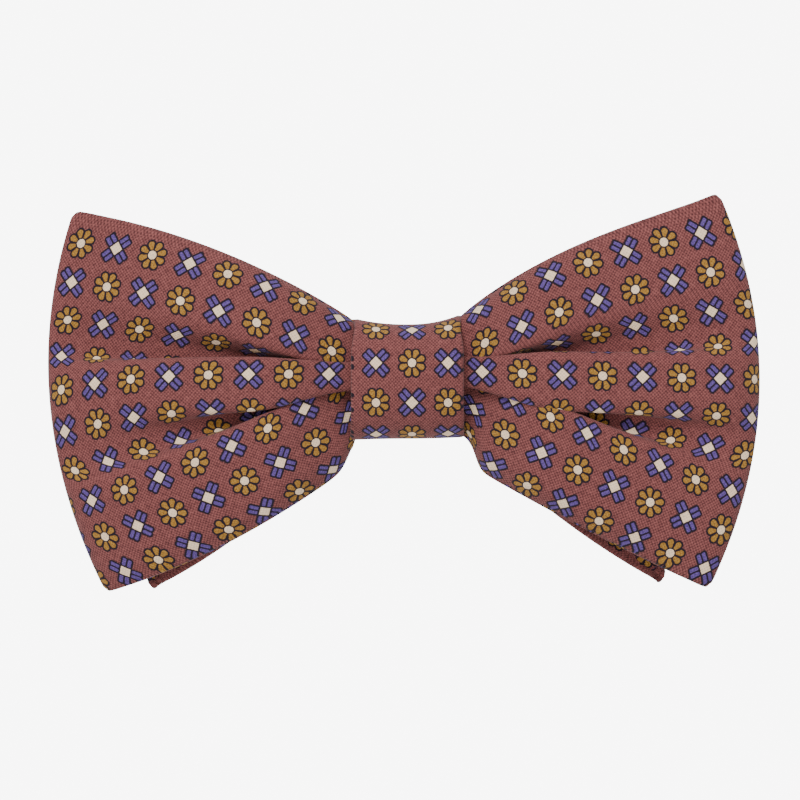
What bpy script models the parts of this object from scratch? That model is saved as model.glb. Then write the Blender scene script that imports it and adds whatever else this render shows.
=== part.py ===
"""Pre-tied butterfly bow tie with an adjustable hook-and-eye neckband.

The bow hangs in the X-Z plane and faces -Y, +Z is up, and +X is the right-hand side seen from
the front. The origin is the middle of the knot's flat rear face, which rests on the collar.
The neckband leaves the knot on both sides, runs round the neck behind the bow and ends in a
hook on the right and an eye plate on the left. It is shown unfastened, each half swung out by
REST_OPENING from the closed loop.
"""

import math
from collections import namedtuple

import bmesh
import bpy
from mathutils import Vector

# ---------------------------------------------------------------- driving dimensions, metres
GAP = 0.0003
CLOTH = 0.00035
BOW_INTERLINING = 0.0005
WRAP_CLOTH = 0.0004
WRAP_INTERLINING = 0.0006
BINDING_DIAMETER = 0.0007
THREAD_DIAMETER = 0.0004
THREAD_GAP = 0.0001
BINDING_TURNS = 4
BINDING_SPACING = 0.0002

KNOT_HALF_WIDTH = 0.0094
KNOT_HALF_HEIGHT = 0.0099
KNOT_FRONT_CORNER = 0.0026
KNOT_REAR_CORNER = 0.0020
SEAM_FROM_CORNER = 0.0012
SEAM_STITCHES = 12
SEAM_STITCH_REACH = 0.0007
SEAM_STITCH_HALF_WIDTH = 0.0082
WAIST_HALF_HEIGHT = 0.0072
MOUTH_HALF_HEIGHT = 0.0080

STRAP_THICKNESS = 0.0010
STRAP_HALF_HEIGHT = 0.0075
BAND_FLAT = 0.0120
BAND_FRONT_RADIUS = 0.0430
BAND_SIDE_RUN = 0.0180
BAND_REAR_RADIUS = 0.0550
HINGE_BEND = math.radians(50.0)
HINGE_CLEARANCE = 0.0006
REST_OPENING = math.radians(5.0)

PLATE_THICKNESS = 0.0012
BAR_WIDTH = 0.0012
BAR_CLEARANCE = 0.0003
PLATE_HALF_HEIGHT = 0.0094
SLOT_HALF_HEIGHT = 0.0078
SLOT_END = 0.0025
CROSSBAR_WIDTH = 0.0014
EYE_WINDOW_LENGTH = 0.0060
EYE_WINDOW_HALF_HEIGHT = 0.0050
EYE_END_HALF_HEIGHT = 0.0068
TONGUE_HALF_HEIGHT = 0.0030
TONGUE_THICKNESS = 0.0010
FASTENED_SPAN = 0.0192
TIP_TO_END_BAR = 0.0004
TIP_DEPTH = 0.0012
TONGUE_CORNER = 0.0011
TONGUE_RISE_SLOPE = 1.2

SLIDER_ANGLE = math.radians(45.0)
SLIDER_RAIL_HALF_LENGTH = 0.0056
SLIDER_CLEARANCE = 0.00045
END_TAIL = 0.0120
TAPER_RUN = 0.0080
ROUTE_STEP = 0.003
TACK_STITCHES = 14
TACK_HALF_HEIGHT = 0.0062
TACK_HALF_WIDTH = 0.0006
TACK_FROM_END = 0.002
LEG_TO_LOOP_GAP = 0.003
LEG_OVERLAP = 0.0006

# ------------------------------------------------------- depths through the knot, rear to front
PLY = 2 * CLOTH + BOW_INTERLINING + 2 * GAP
STRAP_Y = -(WRAP_CLOTH + GAP + STRAP_THICKNESS / 2)
BINDING_REAR_Y = STRAP_Y - STRAP_THICKNESS / 2 - GAP
BACK_BOW_REAR_Y = BINDING_REAR_Y - BINDING_DIAMETER - GAP
BACK_BOW_FRONT_Y = BACK_BOW_REAR_Y - 2 * PLY - GAP
FRONT_BOW_REAR_Y = BACK_BOW_FRONT_Y - GAP
FRONT_BOW_FRONT_Y = FRONT_BOW_REAR_Y - 2 * PLY - GAP
BINDING_FRONT_Y = FRONT_BOW_FRONT_Y - GAP - BINDING_DIAMETER
WRAP_INTERLINING_FRONT_Y = BINDING_FRONT_Y - GAP - WRAP_INTERLINING
KNOT_FRONT_Y = WRAP_INTERLINING_FRONT_Y - GAP - WRAP_CLOTH

# One wing: how far it reaches at its fullest height, how its outer edge bows, its two tips.
Wing = namedtuple("Wing", "side reach fullest_z edge_bow top_z bottom_z")
# One looped strip: where its rear and front plies lie at the knot, mid-wing and outer fold.
Bow = namedtuple("Bow", "left right rear_knot rear_wing front_knot front_wing fold pleat_depth")

FRONT_BOW = Bow(
    left=Wing(-1, 0.0606, 0.0040, 6.5, 0.0283, -0.0356),
    right=Wing(1, 0.0592, 0.0, 6.6, 0.0310, -0.0350),
    rear_knot=FRONT_BOW_REAR_Y, rear_wing=-0.0082,
    front_knot=FRONT_BOW_FRONT_Y, front_wing=-0.0152, fold=0.0030, pleat_depth=0.0020)
BACK_BOW = Bow(
    left=Wing(-1, 0.0485, 0.0, 4.6, 0.0250, -0.0349),
    right=Wing(1, 0.0480, 0.0, 4.6, 0.0260, -0.0339),
    rear_knot=BACK_BOW_REAR_Y, rear_wing=-0.0026,
    front_knot=BACK_BOW_FRONT_Y, front_wing=-0.0072, fold=0.0021, pleat_depth=0.0)

MOUTH_TOP = 0.0105
MOUTH_BOTTOM = -0.0112
TOP_EDGE_POWER = 0.70
BOTTOM_EDGE_POWER = 0.77
# Heights across a wing, 0 at its lower edge and 1 at its upper edge, and the pleat's share
# of its depth there: two valleys with a ridge between them.
ROW_HEIGHTS = (0.0, 0.15, 0.31, 0.42, 0.53, 0.64, 0.80, 1.0)
ROW_PLEATS = (0.1, 0.0, 0.3, 1.0, 0.1, 1.0, 0.2, 0.1)
WING_STATIONS = (0.05, 0.14, 0.28, 0.46, 0.64, 0.82, 1.0)
FOLD_STEPS = 5
PLY_SETTLES_AT = 0.30
PLEAT_FULL_AT = 0.16
PLEAT_FADES_FROM = 0.3
PLEAT_FADE = 0.6
CORNER_STEPS = 6


# ------------------------------------------------------------------------------ small helpers
def blend(start, end, share):
    return start + (end - start) * share


def smooth(value):
    value = min(max(value, 0.0), 1.0)
    return value * value * (3.0 - 2.0 * value)


def material(name, colour, roughness, metallic=0.0):
    made = bpy.data.materials.new(name)
    made.use_nodes = True
    shader = made.node_tree.nodes["Principled BSDF"]
    shader.inputs["Base Color"].default_value = (*colour, 1.0)
    shader.inputs["Roughness"].default_value = roughness
    shader.inputs["Metallic"].default_value = metallic
    return made


def add_object(name, data, finish, parent=None, location=(0.0, 0.0, 0.0), rotation=0.0):
    made = bpy.data.objects.new(name, data)
    bpy.context.scene.collection.objects.link(made)
    made.location = location
    made.rotation_euler = (0.0, 0.0, rotation)
    if parent is not None:
        made.parent = parent
    if data is not None:
        data.materials.append(finish)
    return made


def mesh_from_bmesh(name, shape, smooth_angle=30.0):
    bmesh.ops.recalc_face_normals(shape, faces=shape.faces)
    made = bpy.data.meshes.new(name)
    shape.to_mesh(made)
    shape.free()
    made.shade_smooth()
    made.set_sharp_from_angle(angle=math.radians(smooth_angle))
    return made


def plan_normals(points):
    """Horizontal unit normals, to the right of the direction of travel."""
    normals = []
    for index in range(len(points)):
        before = points[max(index - 1, 0)]
        after = points[min(index + 1, len(points) - 1)]
        run = after - before
        normals.append(Vector((run.y, -run.x, 0.0)).normalized())
    return normals


def shifted(row, distance):
    return [point + normal * distance for point, normal in zip(row, plan_normals(row))]


def thick_sheet(name, rows, near, far):
    """A closed sheet between two offsets, near and far, to the right of every row of points."""
    shape = bmesh.new()
    skins = []
    for distance in (near, far):
        skins.append([[shape.verts.new(point) for point in shifted(row, distance)] for row in rows])
    last_row = len(rows) - 1
    last_point = len(rows[0]) - 1
    for skin in skins:
        for row in range(last_row):
            for point in range(last_point):
                corners = (skin[row][point], skin[row][point + 1],
                           skin[row + 1][point + 1], skin[row + 1][point])
                shape.faces.new(corners)
    first, second = skins
    for row in (0, last_row):
        for point in range(last_point):
            shape.faces.new((first[row][point], first[row][point + 1],
                             second[row][point + 1], second[row][point]))
    for point in (0, last_point):
        for row in range(last_row):
            shape.faces.new((first[row][point], first[row + 1][point],
                             second[row + 1][point], second[row][point]))
    return mesh_from_bmesh(name, shape)


def thread(name, points, diameter, finish, parent=None):
    """A round thread through the points, with closed ends."""
    curve = bpy.data.curves.new(name, "CURVE")
    curve.dimensions = "3D"
    curve.bevel_depth = diameter / 2
    curve.bevel_resolution = 1
    curve.use_fill_caps = True
    spline = curve.splines.new("POLY")
    spline.points.add(len(points) - 1)
    for target, point in zip(spline.points, points):
        target.co = (*point, 1.0)
    return add_object(name, curve, finish, parent)


# ------------------------------------------------------------------------------------ the bow
def wing_row(bow, wing, height, pleat):
    """Outer face of one wing at one height: rear ply from the waist, outer fold, front ply."""
    end_z = blend(wing.bottom_z, wing.top_z, height)
    end_x = wing.reach - wing.edge_bow * (end_z - wing.fullest_z) ** 2
    fold_x = end_x - bow.fold

    def level(x):
        inside = min(x / KNOT_HALF_WIDTH, 1.0)
        half = blend(WAIST_HALF_HEIGHT, MOUTH_HALF_HEIGHT, inside)
        share = max(0.0, (x - KNOT_HALF_WIDTH - GAP) / (end_x - KNOT_HALF_WIDTH - GAP))
        if share == 0.0:
            return blend(-half, half, height)
        top = blend(MOUTH_TOP, wing.top_z, share ** TOP_EDGE_POWER)
        bottom = blend(MOUTH_BOTTOM, wing.bottom_z, share ** BOTTOM_EDGE_POWER)
        return blend(bottom, top, height)

    def ply(x, at_knot, at_wing):
        return blend(at_knot, at_wing, smooth((x - KNOT_HALF_WIDTH) / (PLY_SETTLES_AT * fold_x)))

    def pleating(x):
        share = (x - KNOT_HALF_WIDTH) / (fold_x - KNOT_HALF_WIDTH)
        rise = smooth(share / PLEAT_FULL_AT)
        return bow.pleat_depth * pleat * rise * (1.0 - smooth((share - PLEAT_FADES_FROM) / PLEAT_FADE))

    across = [GAP, KNOT_HALF_WIDTH / 2, KNOT_HALF_WIDTH]
    across += [blend(KNOT_HALF_WIDTH, fold_x, share) for share in WING_STATIONS]
    rear = [Vector((x, ply(x, bow.rear_knot, bow.rear_wing), level(x))) for x in across]
    fold = []
    middle_y = (bow.rear_wing + bow.front_wing) / 2
    half_depth = (bow.rear_wing - bow.front_wing) / 2
    for step in range(1, FOLD_STEPS + 1):
        turn = math.pi * step / (FOLD_STEPS + 1)
        x = fold_x + bow.fold * math.sin(turn)
        fold.append(Vector((x, middle_y + half_depth * math.cos(turn), level(x))))
    front = []
    for x in reversed(across):
        y = ply(x, bow.front_knot, bow.front_wing) + pleating(x)
        front.append(Vector((x, y, level(x))))
    return [Vector((point.x * wing.side, point.y, point.z)) for point in rear + fold + front]


def bow_rows(bow):
    """The whole strip at each height, from the left end at the back to the right end."""
    rows = []
    for height, pleat in zip(ROW_HEIGHTS, ROW_PLEATS):
        left = wing_row(bow, bow.left, height, pleat)
        right = wing_row(bow, bow.right, height, pleat)
        rows.append(left + list(reversed(right)))
    return rows


def build_bow(prefix, bow, cloth, interlining):
    """Face cloth, interlining and lining of one looped strip, nested with a gap between."""
    rows = bow_rows(bow)
    depth = 0.0
    for layer, thickness, finish in (("cloth", CLOTH, cloth),
                                     ("interlining", BOW_INTERLINING, interlining),
                                     ("lining", CLOTH, cloth)):
        name = f"{prefix}_{layer}"
        add_object(name, thick_sheet(name, rows, -depth, -(depth + thickness)), finish)
        depth += thickness + GAP


# ----------------------------------------------------------------------------------- the knot
def knot_outline(inset, rear_y, start_z):
    """Half-way round the knot in Y-Z, seen from its end: under the rear edge, front and top."""
    front_y = KNOT_FRONT_Y + inset
    half = KNOT_HALF_HEIGHT - inset
    corner = KNOT_FRONT_CORNER - inset
    points = [Vector((rear_y, start_z))]
    for side in (-1, 1):
        for step in range(CORNER_STEPS + 1):
            turn = math.radians(90.0 * step / CORNER_STEPS)
            along = math.sin(turn) if side < 0 else math.cos(turn)
            across = math.cos(turn) if side < 0 else math.sin(turn)
            points.append(Vector((front_y + corner * (1.0 - along),
                                  side * (half - corner * (1.0 - across)))))
    points.append(Vector((rear_y, -start_z)))
    return points


def swept_in_x(name, outline, thickness, half_width):
    """A sheet with the given Y-Z outline and thickness, straight across the knot."""
    normals = []
    for index in range(len(outline)):
        run = outline[min(index + 1, len(outline) - 1)] - outline[max(index - 1, 0)]
        normals.append(Vector((run.y, -run.x)).normalized())
    shape = bmesh.new()
    loops = []
    for x in (-half_width, half_width):
        outer = [shape.verts.new((x, point.x, point.y)) for point in outline]
        inner = [shape.verts.new((x, point.x + normal.x * thickness, point.y + normal.y * thickness))
                 for point, normal in zip(outline, normals)]
        loops.append((outer, inner))
    (outer_a, inner_a), (outer_b, inner_b) = loops
    for index in range(len(outline) - 1):
        after = index + 1
        shape.faces.new((outer_a[index], outer_a[after], outer_b[after], outer_b[index]))
        shape.faces.new((inner_a[index], inner_a[after], inner_b[after], inner_b[index]))
        shape.faces.new((outer_a[index], outer_a[after], inner_a[after], inner_a[index]))
        shape.faces.new((outer_b[index], outer_b[after], inner_b[after], inner_b[index]))
    for index in (0, -1):
        shape.faces.new((outer_a[index], outer_b[index], inner_b[index], inner_a[index]))
    return mesh_from_bmesh(name, shape)


def wrap_outline():
    """Once round the knot from its seam under the rear edge, by the front, to the flat rear."""
    seam_y = -(KNOT_REAR_CORNER + SEAM_FROM_CORNER)
    points = knot_outline(0.0, seam_y, -KNOT_HALF_HEIGHT)
    for step in range(CORNER_STEPS + 1):
        turn = math.radians(90.0 * step / CORNER_STEPS)
        points.append(Vector((KNOT_REAR_CORNER * (math.sin(turn) - 1.0),
                              KNOT_HALF_HEIGHT - KNOT_REAR_CORNER * (1.0 - math.cos(turn)))))
    for step in range(CORNER_STEPS + 1):
        turn = math.radians(90.0 * step / CORNER_STEPS)
        points.append(Vector((KNOT_REAR_CORNER * (math.cos(turn) - 1.0),
                              -KNOT_HALF_HEIGHT + KNOT_REAR_CORNER * (1.0 - math.sin(turn)))))
    points.append(Vector((seam_y + GAP, -KNOT_HALF_HEIGHT)))
    return points


def build_knot(cloth, interlining, binding, stitches):
    wrap = swept_in_x("knot_wrap", wrap_outline(), WRAP_CLOTH, KNOT_HALF_WIDTH)
    add_object("knot_wrap", wrap, cloth)
    inset = WRAP_CLOTH + GAP
    half = KNOT_HALF_HEIGHT - inset
    padding = swept_in_x("knot_interlining", knot_outline(inset, BACK_BOW_REAR_Y, -half),
                         WRAP_INTERLINING, KNOT_HALF_WIDTH - GAP)
    add_object("knot_interlining", padding, interlining)
    build_binding(binding)
    build_wrap_stitches(stitches)


def build_binding(finish):
    """Thread wound four times round the waist of both bows."""
    radius = BINDING_DIAMETER / 2
    corner = radius + GAP
    front = BINDING_FRONT_Y + radius + corner
    rear = BINDING_REAR_Y - radius - corner
    height = WAIST_HALF_HEIGHT
    corners = ((front, height, 90.0), (front, -height, 180.0), (rear, -height, 270.0),
               (rear, height, 0.0))
    turns = BINDING_TURNS
    bends = (0.0, 45.0, 90.0)
    pitch = BINDING_DIAMETER + BINDING_SPACING
    per_turn = len(corners) * len(bends)
    points = []
    for step in range(turns * per_turn + 1):
        y, z, start = corners[step % per_turn // len(bends)]
        turn = math.radians(start + bends[step % len(bends)])
        x = pitch * (step / per_turn - turns / 2)
        points.append((x, y + corner * math.cos(turn), z + corner * math.sin(turn)))
    thread("waist_binding_thread", points, BINDING_DIAMETER, finish)


def build_wrap_stitches(finish):
    """Slip stitches that zigzag over the wrap's seam on the knot's underside."""
    seam_y = -(KNOT_REAR_CORNER + SEAM_FROM_CORNER)
    level = -KNOT_HALF_HEIGHT - THREAD_GAP - THREAD_DIAMETER / 2
    reach = SEAM_STITCH_REACH
    points = []
    for step in range(SEAM_STITCHES + 1):
        x = blend(-SEAM_STITCH_HALF_WIDTH, SEAM_STITCH_HALF_WIDTH, step / SEAM_STITCHES)
        points.append((x, seam_y + GAP / 2 + (reach if step % 2 else -reach), level))
    thread("knot_closing_stitches", points, THREAD_DIAMETER, finish)


# ------------------------------------------------------------------------------- the neckband
FRONT_ARC_END = BAND_FLAT + BAND_FRONT_RADIUS * math.pi / 2
SIDE_END = FRONT_ARC_END + BAND_SIDE_RUN
HALF_BAND = SIDE_END + BAND_REAR_RADIUS * math.pi / 2
REAR_CENTRE_Y = STRAP_Y + BAND_FRONT_RADIUS + BAND_SIDE_RUN
TURN_RADIUS = BAR_WIDTH / 2 + BAR_CLEARANCE + STRAP_THICKNESS / 2
LAYER_PITCH = STRAP_THICKNESS + GAP
HINGE_RUN = BAND_FLAT + BAND_FRONT_RADIUS * HINGE_BEND
PIVOT_BEND = math.asin(FASTENED_SPAN / 2 / (BAND_REAR_RADIUS - TURN_RADIUS))
PIVOT_RUN = HALF_BAND - BAND_REAR_RADIUS * PIVOT_BEND
SLIDER_RUN = SIDE_END + BAND_REAR_RADIUS * SLIDER_ANGLE


def band_point(run, outward=0.0):
    """A point of the closed band's right half, run metres from the knot's middle."""
    if run <= BAND_FLAT:
        return Vector((run, STRAP_Y - outward, 0.0))
    if run <= FRONT_ARC_END:
        bend = (run - BAND_FLAT) / BAND_FRONT_RADIUS
        radius = BAND_FRONT_RADIUS + outward
        return Vector((BAND_FLAT + radius * math.sin(bend),
                       STRAP_Y + BAND_FRONT_RADIUS - radius * math.cos(bend), 0.0))
    if run <= SIDE_END:
        return Vector((BAND_REAR_RADIUS + outward,
                       STRAP_Y + BAND_FRONT_RADIUS + run - FRONT_ARC_END, 0.0))
    bend = (run - SIDE_END) / BAND_REAR_RADIUS
    radius = BAND_REAR_RADIUS + outward
    return Vector((radius * math.cos(bend), REAR_CENTRE_Y + radius * math.sin(bend), 0.0))


def band_route(start, end, outward=lambda run: 0.0, step=0.004):
    count = max(2, round(abs(end - start) / step))
    runs = [blend(start, end, index / count) for index in range(count + 1)]
    return [band_point(run, outward(run)) for run in runs]


def turn_round_bar(run, bar_outward, direction):
    """Half a turn inwards round a bar, bulging towards the closure (+1) or the knot (-1)."""
    centre = band_point(run, bar_outward)
    away = (band_point(run, 1.0) - band_point(run, 0.0)).normalized()
    along = Vector((-away.y, away.x, 0.0)) * direction
    points = []
    for step in range(1, CORNER_STEPS):
        turn = math.pi * step / CORNER_STEPS
        points.append(centre + along * TURN_RADIUS * math.sin(turn)
                      + away * TURN_RADIUS * math.cos(turn))
    return points


def strap(name, route, finish, parent, side=1):
    """A flat strap along a plan route given for the right side, mirrored for the left."""
    inverse = parent.matrix_basis.inverted() if parent else None
    rows = []
    for level in (-STRAP_HALF_HEIGHT, STRAP_HALF_HEIGHT):
        row = [Vector((point.x * side, point.y, level)) for point in route]
        rows.append([inverse @ point for point in row] if inverse else row)
    half = STRAP_THICKNESS / 2
    return add_object(name, thick_sheet(name, rows, -half, half), finish, parent)


def closing_offset(bar_run, direction, settled):
    """Inner leg's offset: two turn radii in from the outer leg at the bar, closing to settled."""
    def outward(run):
        share = smooth((run - bar_run) * direction / TAPER_RUN)
        return blend(-2.0 * TURN_RADIUS, settled, share)
    return outward


def bar_tack(name, run, outward, finish, parent, side=1):
    """A dense zigzag of thread across the strap's sewn-down end."""
    inverse = parent.matrix_basis.inverted()
    points = []
    for step in range(TACK_STITCHES + 1):
        z = blend(-TACK_HALF_HEIGHT, TACK_HALF_HEIGHT, step / TACK_STITCHES)
        point = band_point(run + (TACK_HALF_WIDTH if step % 2 else -TACK_HALF_WIDTH), outward)
        points.append(inverse @ Vector((point.x * side, point.y, z)))
    thread(name, points, THREAD_DIAMETER, finish, parent)


def axis_empty(name, point, rotation, parent=None):
    """An empty on a joint's vertical axis, which carries the pieces that turn about it."""
    made = add_object(name, None, None, parent, point, rotation)
    made.empty_display_size = 0.01
    return made


def build_neckband(cloth, metal, stitches):
    front = band_route(0.0, HINGE_RUN - HINGE_CLEARANCE)
    mirrored = [Vector((-point.x, point.y, 0.0)) for point in reversed(front)]
    strap("neckband_centre", mirrored[:-1] + front, cloth, None)

    hinges = {}
    for side, name in ((-1, "left_band_hinge"), (1, "right_band_hinge")):
        point = band_point(HINGE_RUN)
        hinges[side] = axis_empty(name, (point.x * side, point.y, 0.0), 0.0)
    bpy.context.view_layer.update()

    build_left_half(hinges[-1], cloth, metal, stitches)
    build_right_half(hinges[1], cloth, metal, stitches)
    for side, hinge in hinges.items():
        hinge.rotation_euler.z = -side * REST_OPENING


def build_left_half(hinge, cloth, metal, stitches):
    start = HINGE_RUN + HINGE_CLEARANCE
    tail_end = PIVOT_RUN - END_TAIL - TAPER_RUN / 2
    inner = closing_offset(PIVOT_RUN, -1, -LAYER_PITCH)
    route = (band_route(start, PIVOT_RUN)
             + turn_round_bar(PIVOT_RUN, -TURN_RADIUS, 1)
             + band_route(PIVOT_RUN, tail_end, inner, ROUTE_STEP))
    strap("neckband_left", route, cloth, hinge, -1)
    tack_depth = -LAYER_PITCH - STRAP_THICKNESS / 2 - THREAD_GAP - THREAD_DIAMETER / 2
    bar_tack("left_end_bar_tack", tail_end + TACK_FROM_END, tack_depth, stitches, hinge, -1)
    build_eye_plate(hinge, metal)


def build_right_half(hinge, cloth, metal, stitches):
    start = HINGE_RUN + HINGE_CLEARANCE
    loop_end = SLIDER_RUN + END_TAIL + LEG_TO_LOOP_GAP
    inner = closing_offset(PIVOT_RUN, -1, -LAYER_PITCH)
    route = (band_route(start, PIVOT_RUN)
             + turn_round_bar(PIVOT_RUN, -TURN_RADIUS, 1)
             + band_route(PIVOT_RUN, loop_end + LEG_OVERLAP, inner, ROUTE_STEP))
    strap("neckband_right", route, cloth, hinge)
    build_hook(hinge, metal)
    build_slider(hinge, cloth, metal, stitches, loop_end)


# ------------------------------------------------------------------------------- the hardware
def box(shape, low, high):
    """Add a box to a bmesh between two corners."""
    corners = [shape.verts.new((x, y, z)) for x in (low[0], high[0])
               for y in (low[1], high[1]) for z in (low[2], high[2])]
    for face in ((0, 1, 3, 2), (4, 6, 7, 5), (0, 4, 5, 1), (2, 3, 7, 6), (0, 2, 6, 4), (1, 5, 7, 3)):
        shape.faces.new([corners[index] for index in face])


def cut_window(target, start, end, half_height, parent):
    """Cut a window through a plate, from start to end along it."""
    shape = bmesh.new()
    box(shape, (start, -PLATE_THICKNESS * 3, -half_height), (end, PLATE_THICKNESS * 3, half_height))
    cutter = add_object(target.name + "_window_cutter", mesh_from_bmesh("cutter", shape),
                        target.data.materials[0], parent, target.location, target.rotation_euler.z)
    cutter.hide_render = True
    cutter.display_type = "WIRE"
    cut = target.modifiers.new("window", "BOOLEAN")
    cut.operation = "DIFFERENCE"
    cut.solver = "EXACT"
    cut.object = cutter


def round_edges(target, width):
    soften = target.modifiers.new("rounded edges", "BEVEL")
    soften.width = width
    soften.segments = 2
    soften.limit_method = "ANGLE"
    soften.angle_limit = math.radians(40.0)


def plate_mesh(name, outline):
    """A flat plate of the given outline, length by height, centred on its thickness."""
    shape = bmesh.new()
    verts = [shape.verts.new((length, -PLATE_THICKNESS / 2, height)) for length, height in outline]
    face = shape.faces.new(verts)
    grown = bmesh.ops.extrude_face_region(shape, geom=[face])
    raised = [item for item in grown["geom"] if isinstance(item, bmesh.types.BMVert)]
    bmesh.ops.translate(shape, verts=raised, vec=(0.0, PLATE_THICKNESS, 0.0))
    return mesh_from_bmesh(name, shape)


def build_eye_plate(hinge, metal):
    """Plate with a strap slot and a window for the hook; its strap bar is on its origin."""
    window_start = SLOT_END + CROSSBAR_WIDTH
    window_end = window_start + EYE_WINDOW_LENGTH
    end = window_end + BAR_WIDTH
    start = -BAR_WIDTH / 2
    outline = ((start, -PLATE_HALF_HEIGHT), (window_start, -PLATE_HALF_HEIGHT),
               (end, -EYE_END_HALF_HEIGHT), (end, EYE_END_HALF_HEIGHT),
               (window_start, PLATE_HALF_HEIGHT), (start, PLATE_HALF_HEIGHT))
    pivot = band_point(PIVOT_RUN, -TURN_RADIUS)
    local = hinge.matrix_basis.inverted() @ Vector((-pivot.x, pivot.y, 0.0))
    plate = add_object("eye_plate", plate_mesh("eye_plate", outline), metal, hinge, local)
    cut_window(plate, BAR_WIDTH / 2, SLOT_END, SLOT_HALF_HEIGHT, hinge)
    cut_window(plate, window_start, window_end, EYE_WINDOW_HALF_HEIGHT, hinge)
    round_edges(plate, 0.0002)


def hook_profile():
    """Side view of the tongue: middle line out of the plate, over the eye's bar and down."""
    over = PLATE_THICKNESS / 2 + GAP + TONGUE_THICKNESS / 2
    window_end = SLOT_END + CROSSBAR_WIDTH + EYE_WINDOW_LENGTH
    tip = FASTENED_SPAN - (window_end - TIP_TO_END_BAR - TONGUE_THICKNESS / 2)
    corner = TONGUE_CORNER
    points = [Vector((SLOT_END + CROSSBAR_WIDTH / 2, 0.0)), Vector((SLOT_END + CROSSBAR_WIDTH, 0.0))]
    points.append(Vector((points[-1].x + over * TONGUE_RISE_SLOPE, over)))
    for step in range(5):
        turn = math.radians(90.0 * step / 4)
        points.append(Vector((tip - corner * (1.0 - math.sin(turn)),
                              over - corner * (1.0 - math.cos(turn)))))
    points.append(Vector((tip, -TIP_DEPTH)))
    return points


def build_hook(hinge, metal):
    """Slotted plate with a tongue that turns down into the eye; its strap bar is its origin."""
    start = -BAR_WIDTH / 2
    end = SLOT_END + CROSSBAR_WIDTH
    outline = ((start, -PLATE_HALF_HEIGHT), (SLOT_END, -PLATE_HALF_HEIGHT),
               (end, -PLATE_HALF_HEIGHT * 0.7), (end, PLATE_HALF_HEIGHT * 0.7),
               (SLOT_END, PLATE_HALF_HEIGHT), (start, PLATE_HALF_HEIGHT))
    outline = [(-length, height) for length, height in outline]
    pivot = band_point(PIVOT_RUN, -TURN_RADIUS)
    local = hinge.matrix_basis.inverted() @ Vector((pivot.x, pivot.y, 0.0))
    plate = add_object("hook", plate_mesh("hook", outline), metal, hinge, local)

    profile = [Vector((-point.x, point.y, 0.0)) for point in hook_profile()]
    rows = [[Vector((point.x, point.y, z)) for point in profile]
            for z in (-TONGUE_HALF_HEIGHT, TONGUE_HALF_HEIGHT)]
    tongue_mesh = thick_sheet("tongue", rows, -TONGUE_THICKNESS / 2, TONGUE_THICKNESS / 2)
    tongue = add_object("hook_tongue_tool", tongue_mesh, metal, hinge, local)
    tongue.hide_render = True
    tongue.display_type = "WIRE"
    join = plate.modifiers.new("tongue", "BOOLEAN")
    join.operation = "UNION"
    join.solver = "EXACT"
    join.object = tongue
    cut_window(plate, -SLOT_END, -BAR_WIDTH / 2, SLOT_HALF_HEIGHT, hinge)
    round_edges(plate, 0.00015)


def build_slider(hinge, cloth, metal, stitches, loop_end):
    """Three-bar slider: the strap runs under the outer bars, its sewn end holds the middle one."""
    bar_outward = -LAYER_PITCH - TURN_RADIUS
    axis = axis_empty("slider_axis", hinge.matrix_basis.inverted() @ Vector((0.0, REAR_CENTRE_Y, 0.0)),
                      0.0, hinge)
    bpy.context.view_layer.update()
    inverse = axis.matrix_world.inverted()

    inner = closing_offset(SLIDER_RUN, 1, -LAYER_PITCH)
    route = (band_route(loop_end, SLIDER_RUN, lambda run: -LAYER_PITCH, ROUTE_STEP)
             + turn_round_bar(SLIDER_RUN, bar_outward, -1)
             + band_route(SLIDER_RUN, SLIDER_RUN + END_TAIL,
                          lambda run: inner(run) - LAYER_PITCH, ROUTE_STEP))
    rows = [[inverse @ Vector((point.x, point.y, level)) for point in route]
            for level in (-STRAP_HALF_HEIGHT, STRAP_HALF_HEIGHT)]
    half = STRAP_THICKNESS / 2
    add_object("slider_end_loop", thick_sheet("slider_end_loop", rows, -half, half), cloth, axis)

    tack = []
    depth = -2 * LAYER_PITCH - STRAP_THICKNESS / 2 - THREAD_GAP - THREAD_DIAMETER / 2
    for step in range(TACK_STITCHES + 1):
        side_step = TACK_HALF_WIDTH if step % 2 else -TACK_HALF_WIDTH
        point = band_point(SLIDER_RUN + END_TAIL - TACK_FROM_END + side_step, depth)
        z = blend(-TACK_HALF_HEIGHT, TACK_HALF_HEIGHT, step / TACK_STITCHES)
        tack.append(inverse @ Vector((point.x, point.y, z)))
    thread("slider_end_bar_tack", tack, THREAD_DIAMETER, stitches, axis)

    place = inverse @ band_point(SLIDER_RUN)
    slider = add_object("length_slider", slider_mesh(bar_outward), metal, axis, place, SLIDER_ANGLE)
    round_edges(slider, 0.0002)


def slider_mesh(bar_outward):
    """Slider about its middle: local X points away from the neck, local Y along the strap."""
    half_bar = BAR_WIDTH / 2
    outer = STRAP_THICKNESS / 2 + SLIDER_CLEARANCE + half_bar
    end = SLIDER_RAIL_HALF_LENGTH
    shape = bmesh.new()
    for low, high in ((-PLATE_HALF_HEIGHT, -SLOT_HALF_HEIGHT), (SLOT_HALF_HEIGHT, PLATE_HALF_HEIGHT)):
        box(shape, (bar_outward - half_bar, -end, low), (outer + half_bar, end, high))
    bars = ((outer, half_bar - end), (outer, end - half_bar), (bar_outward, 0.0))
    for across, along in bars:
        for value, axis in ((across - half_bar, "X"), (across + half_bar, "X"),
                            (along - half_bar, "Y"), (along + half_bar, "Y")):
            split_along(shape, value, axis)
    for across, along in bars:
        bridge_rails(shape, across, along, half_bar)
    return mesh_from_bmesh("length_slider", shape)


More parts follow.
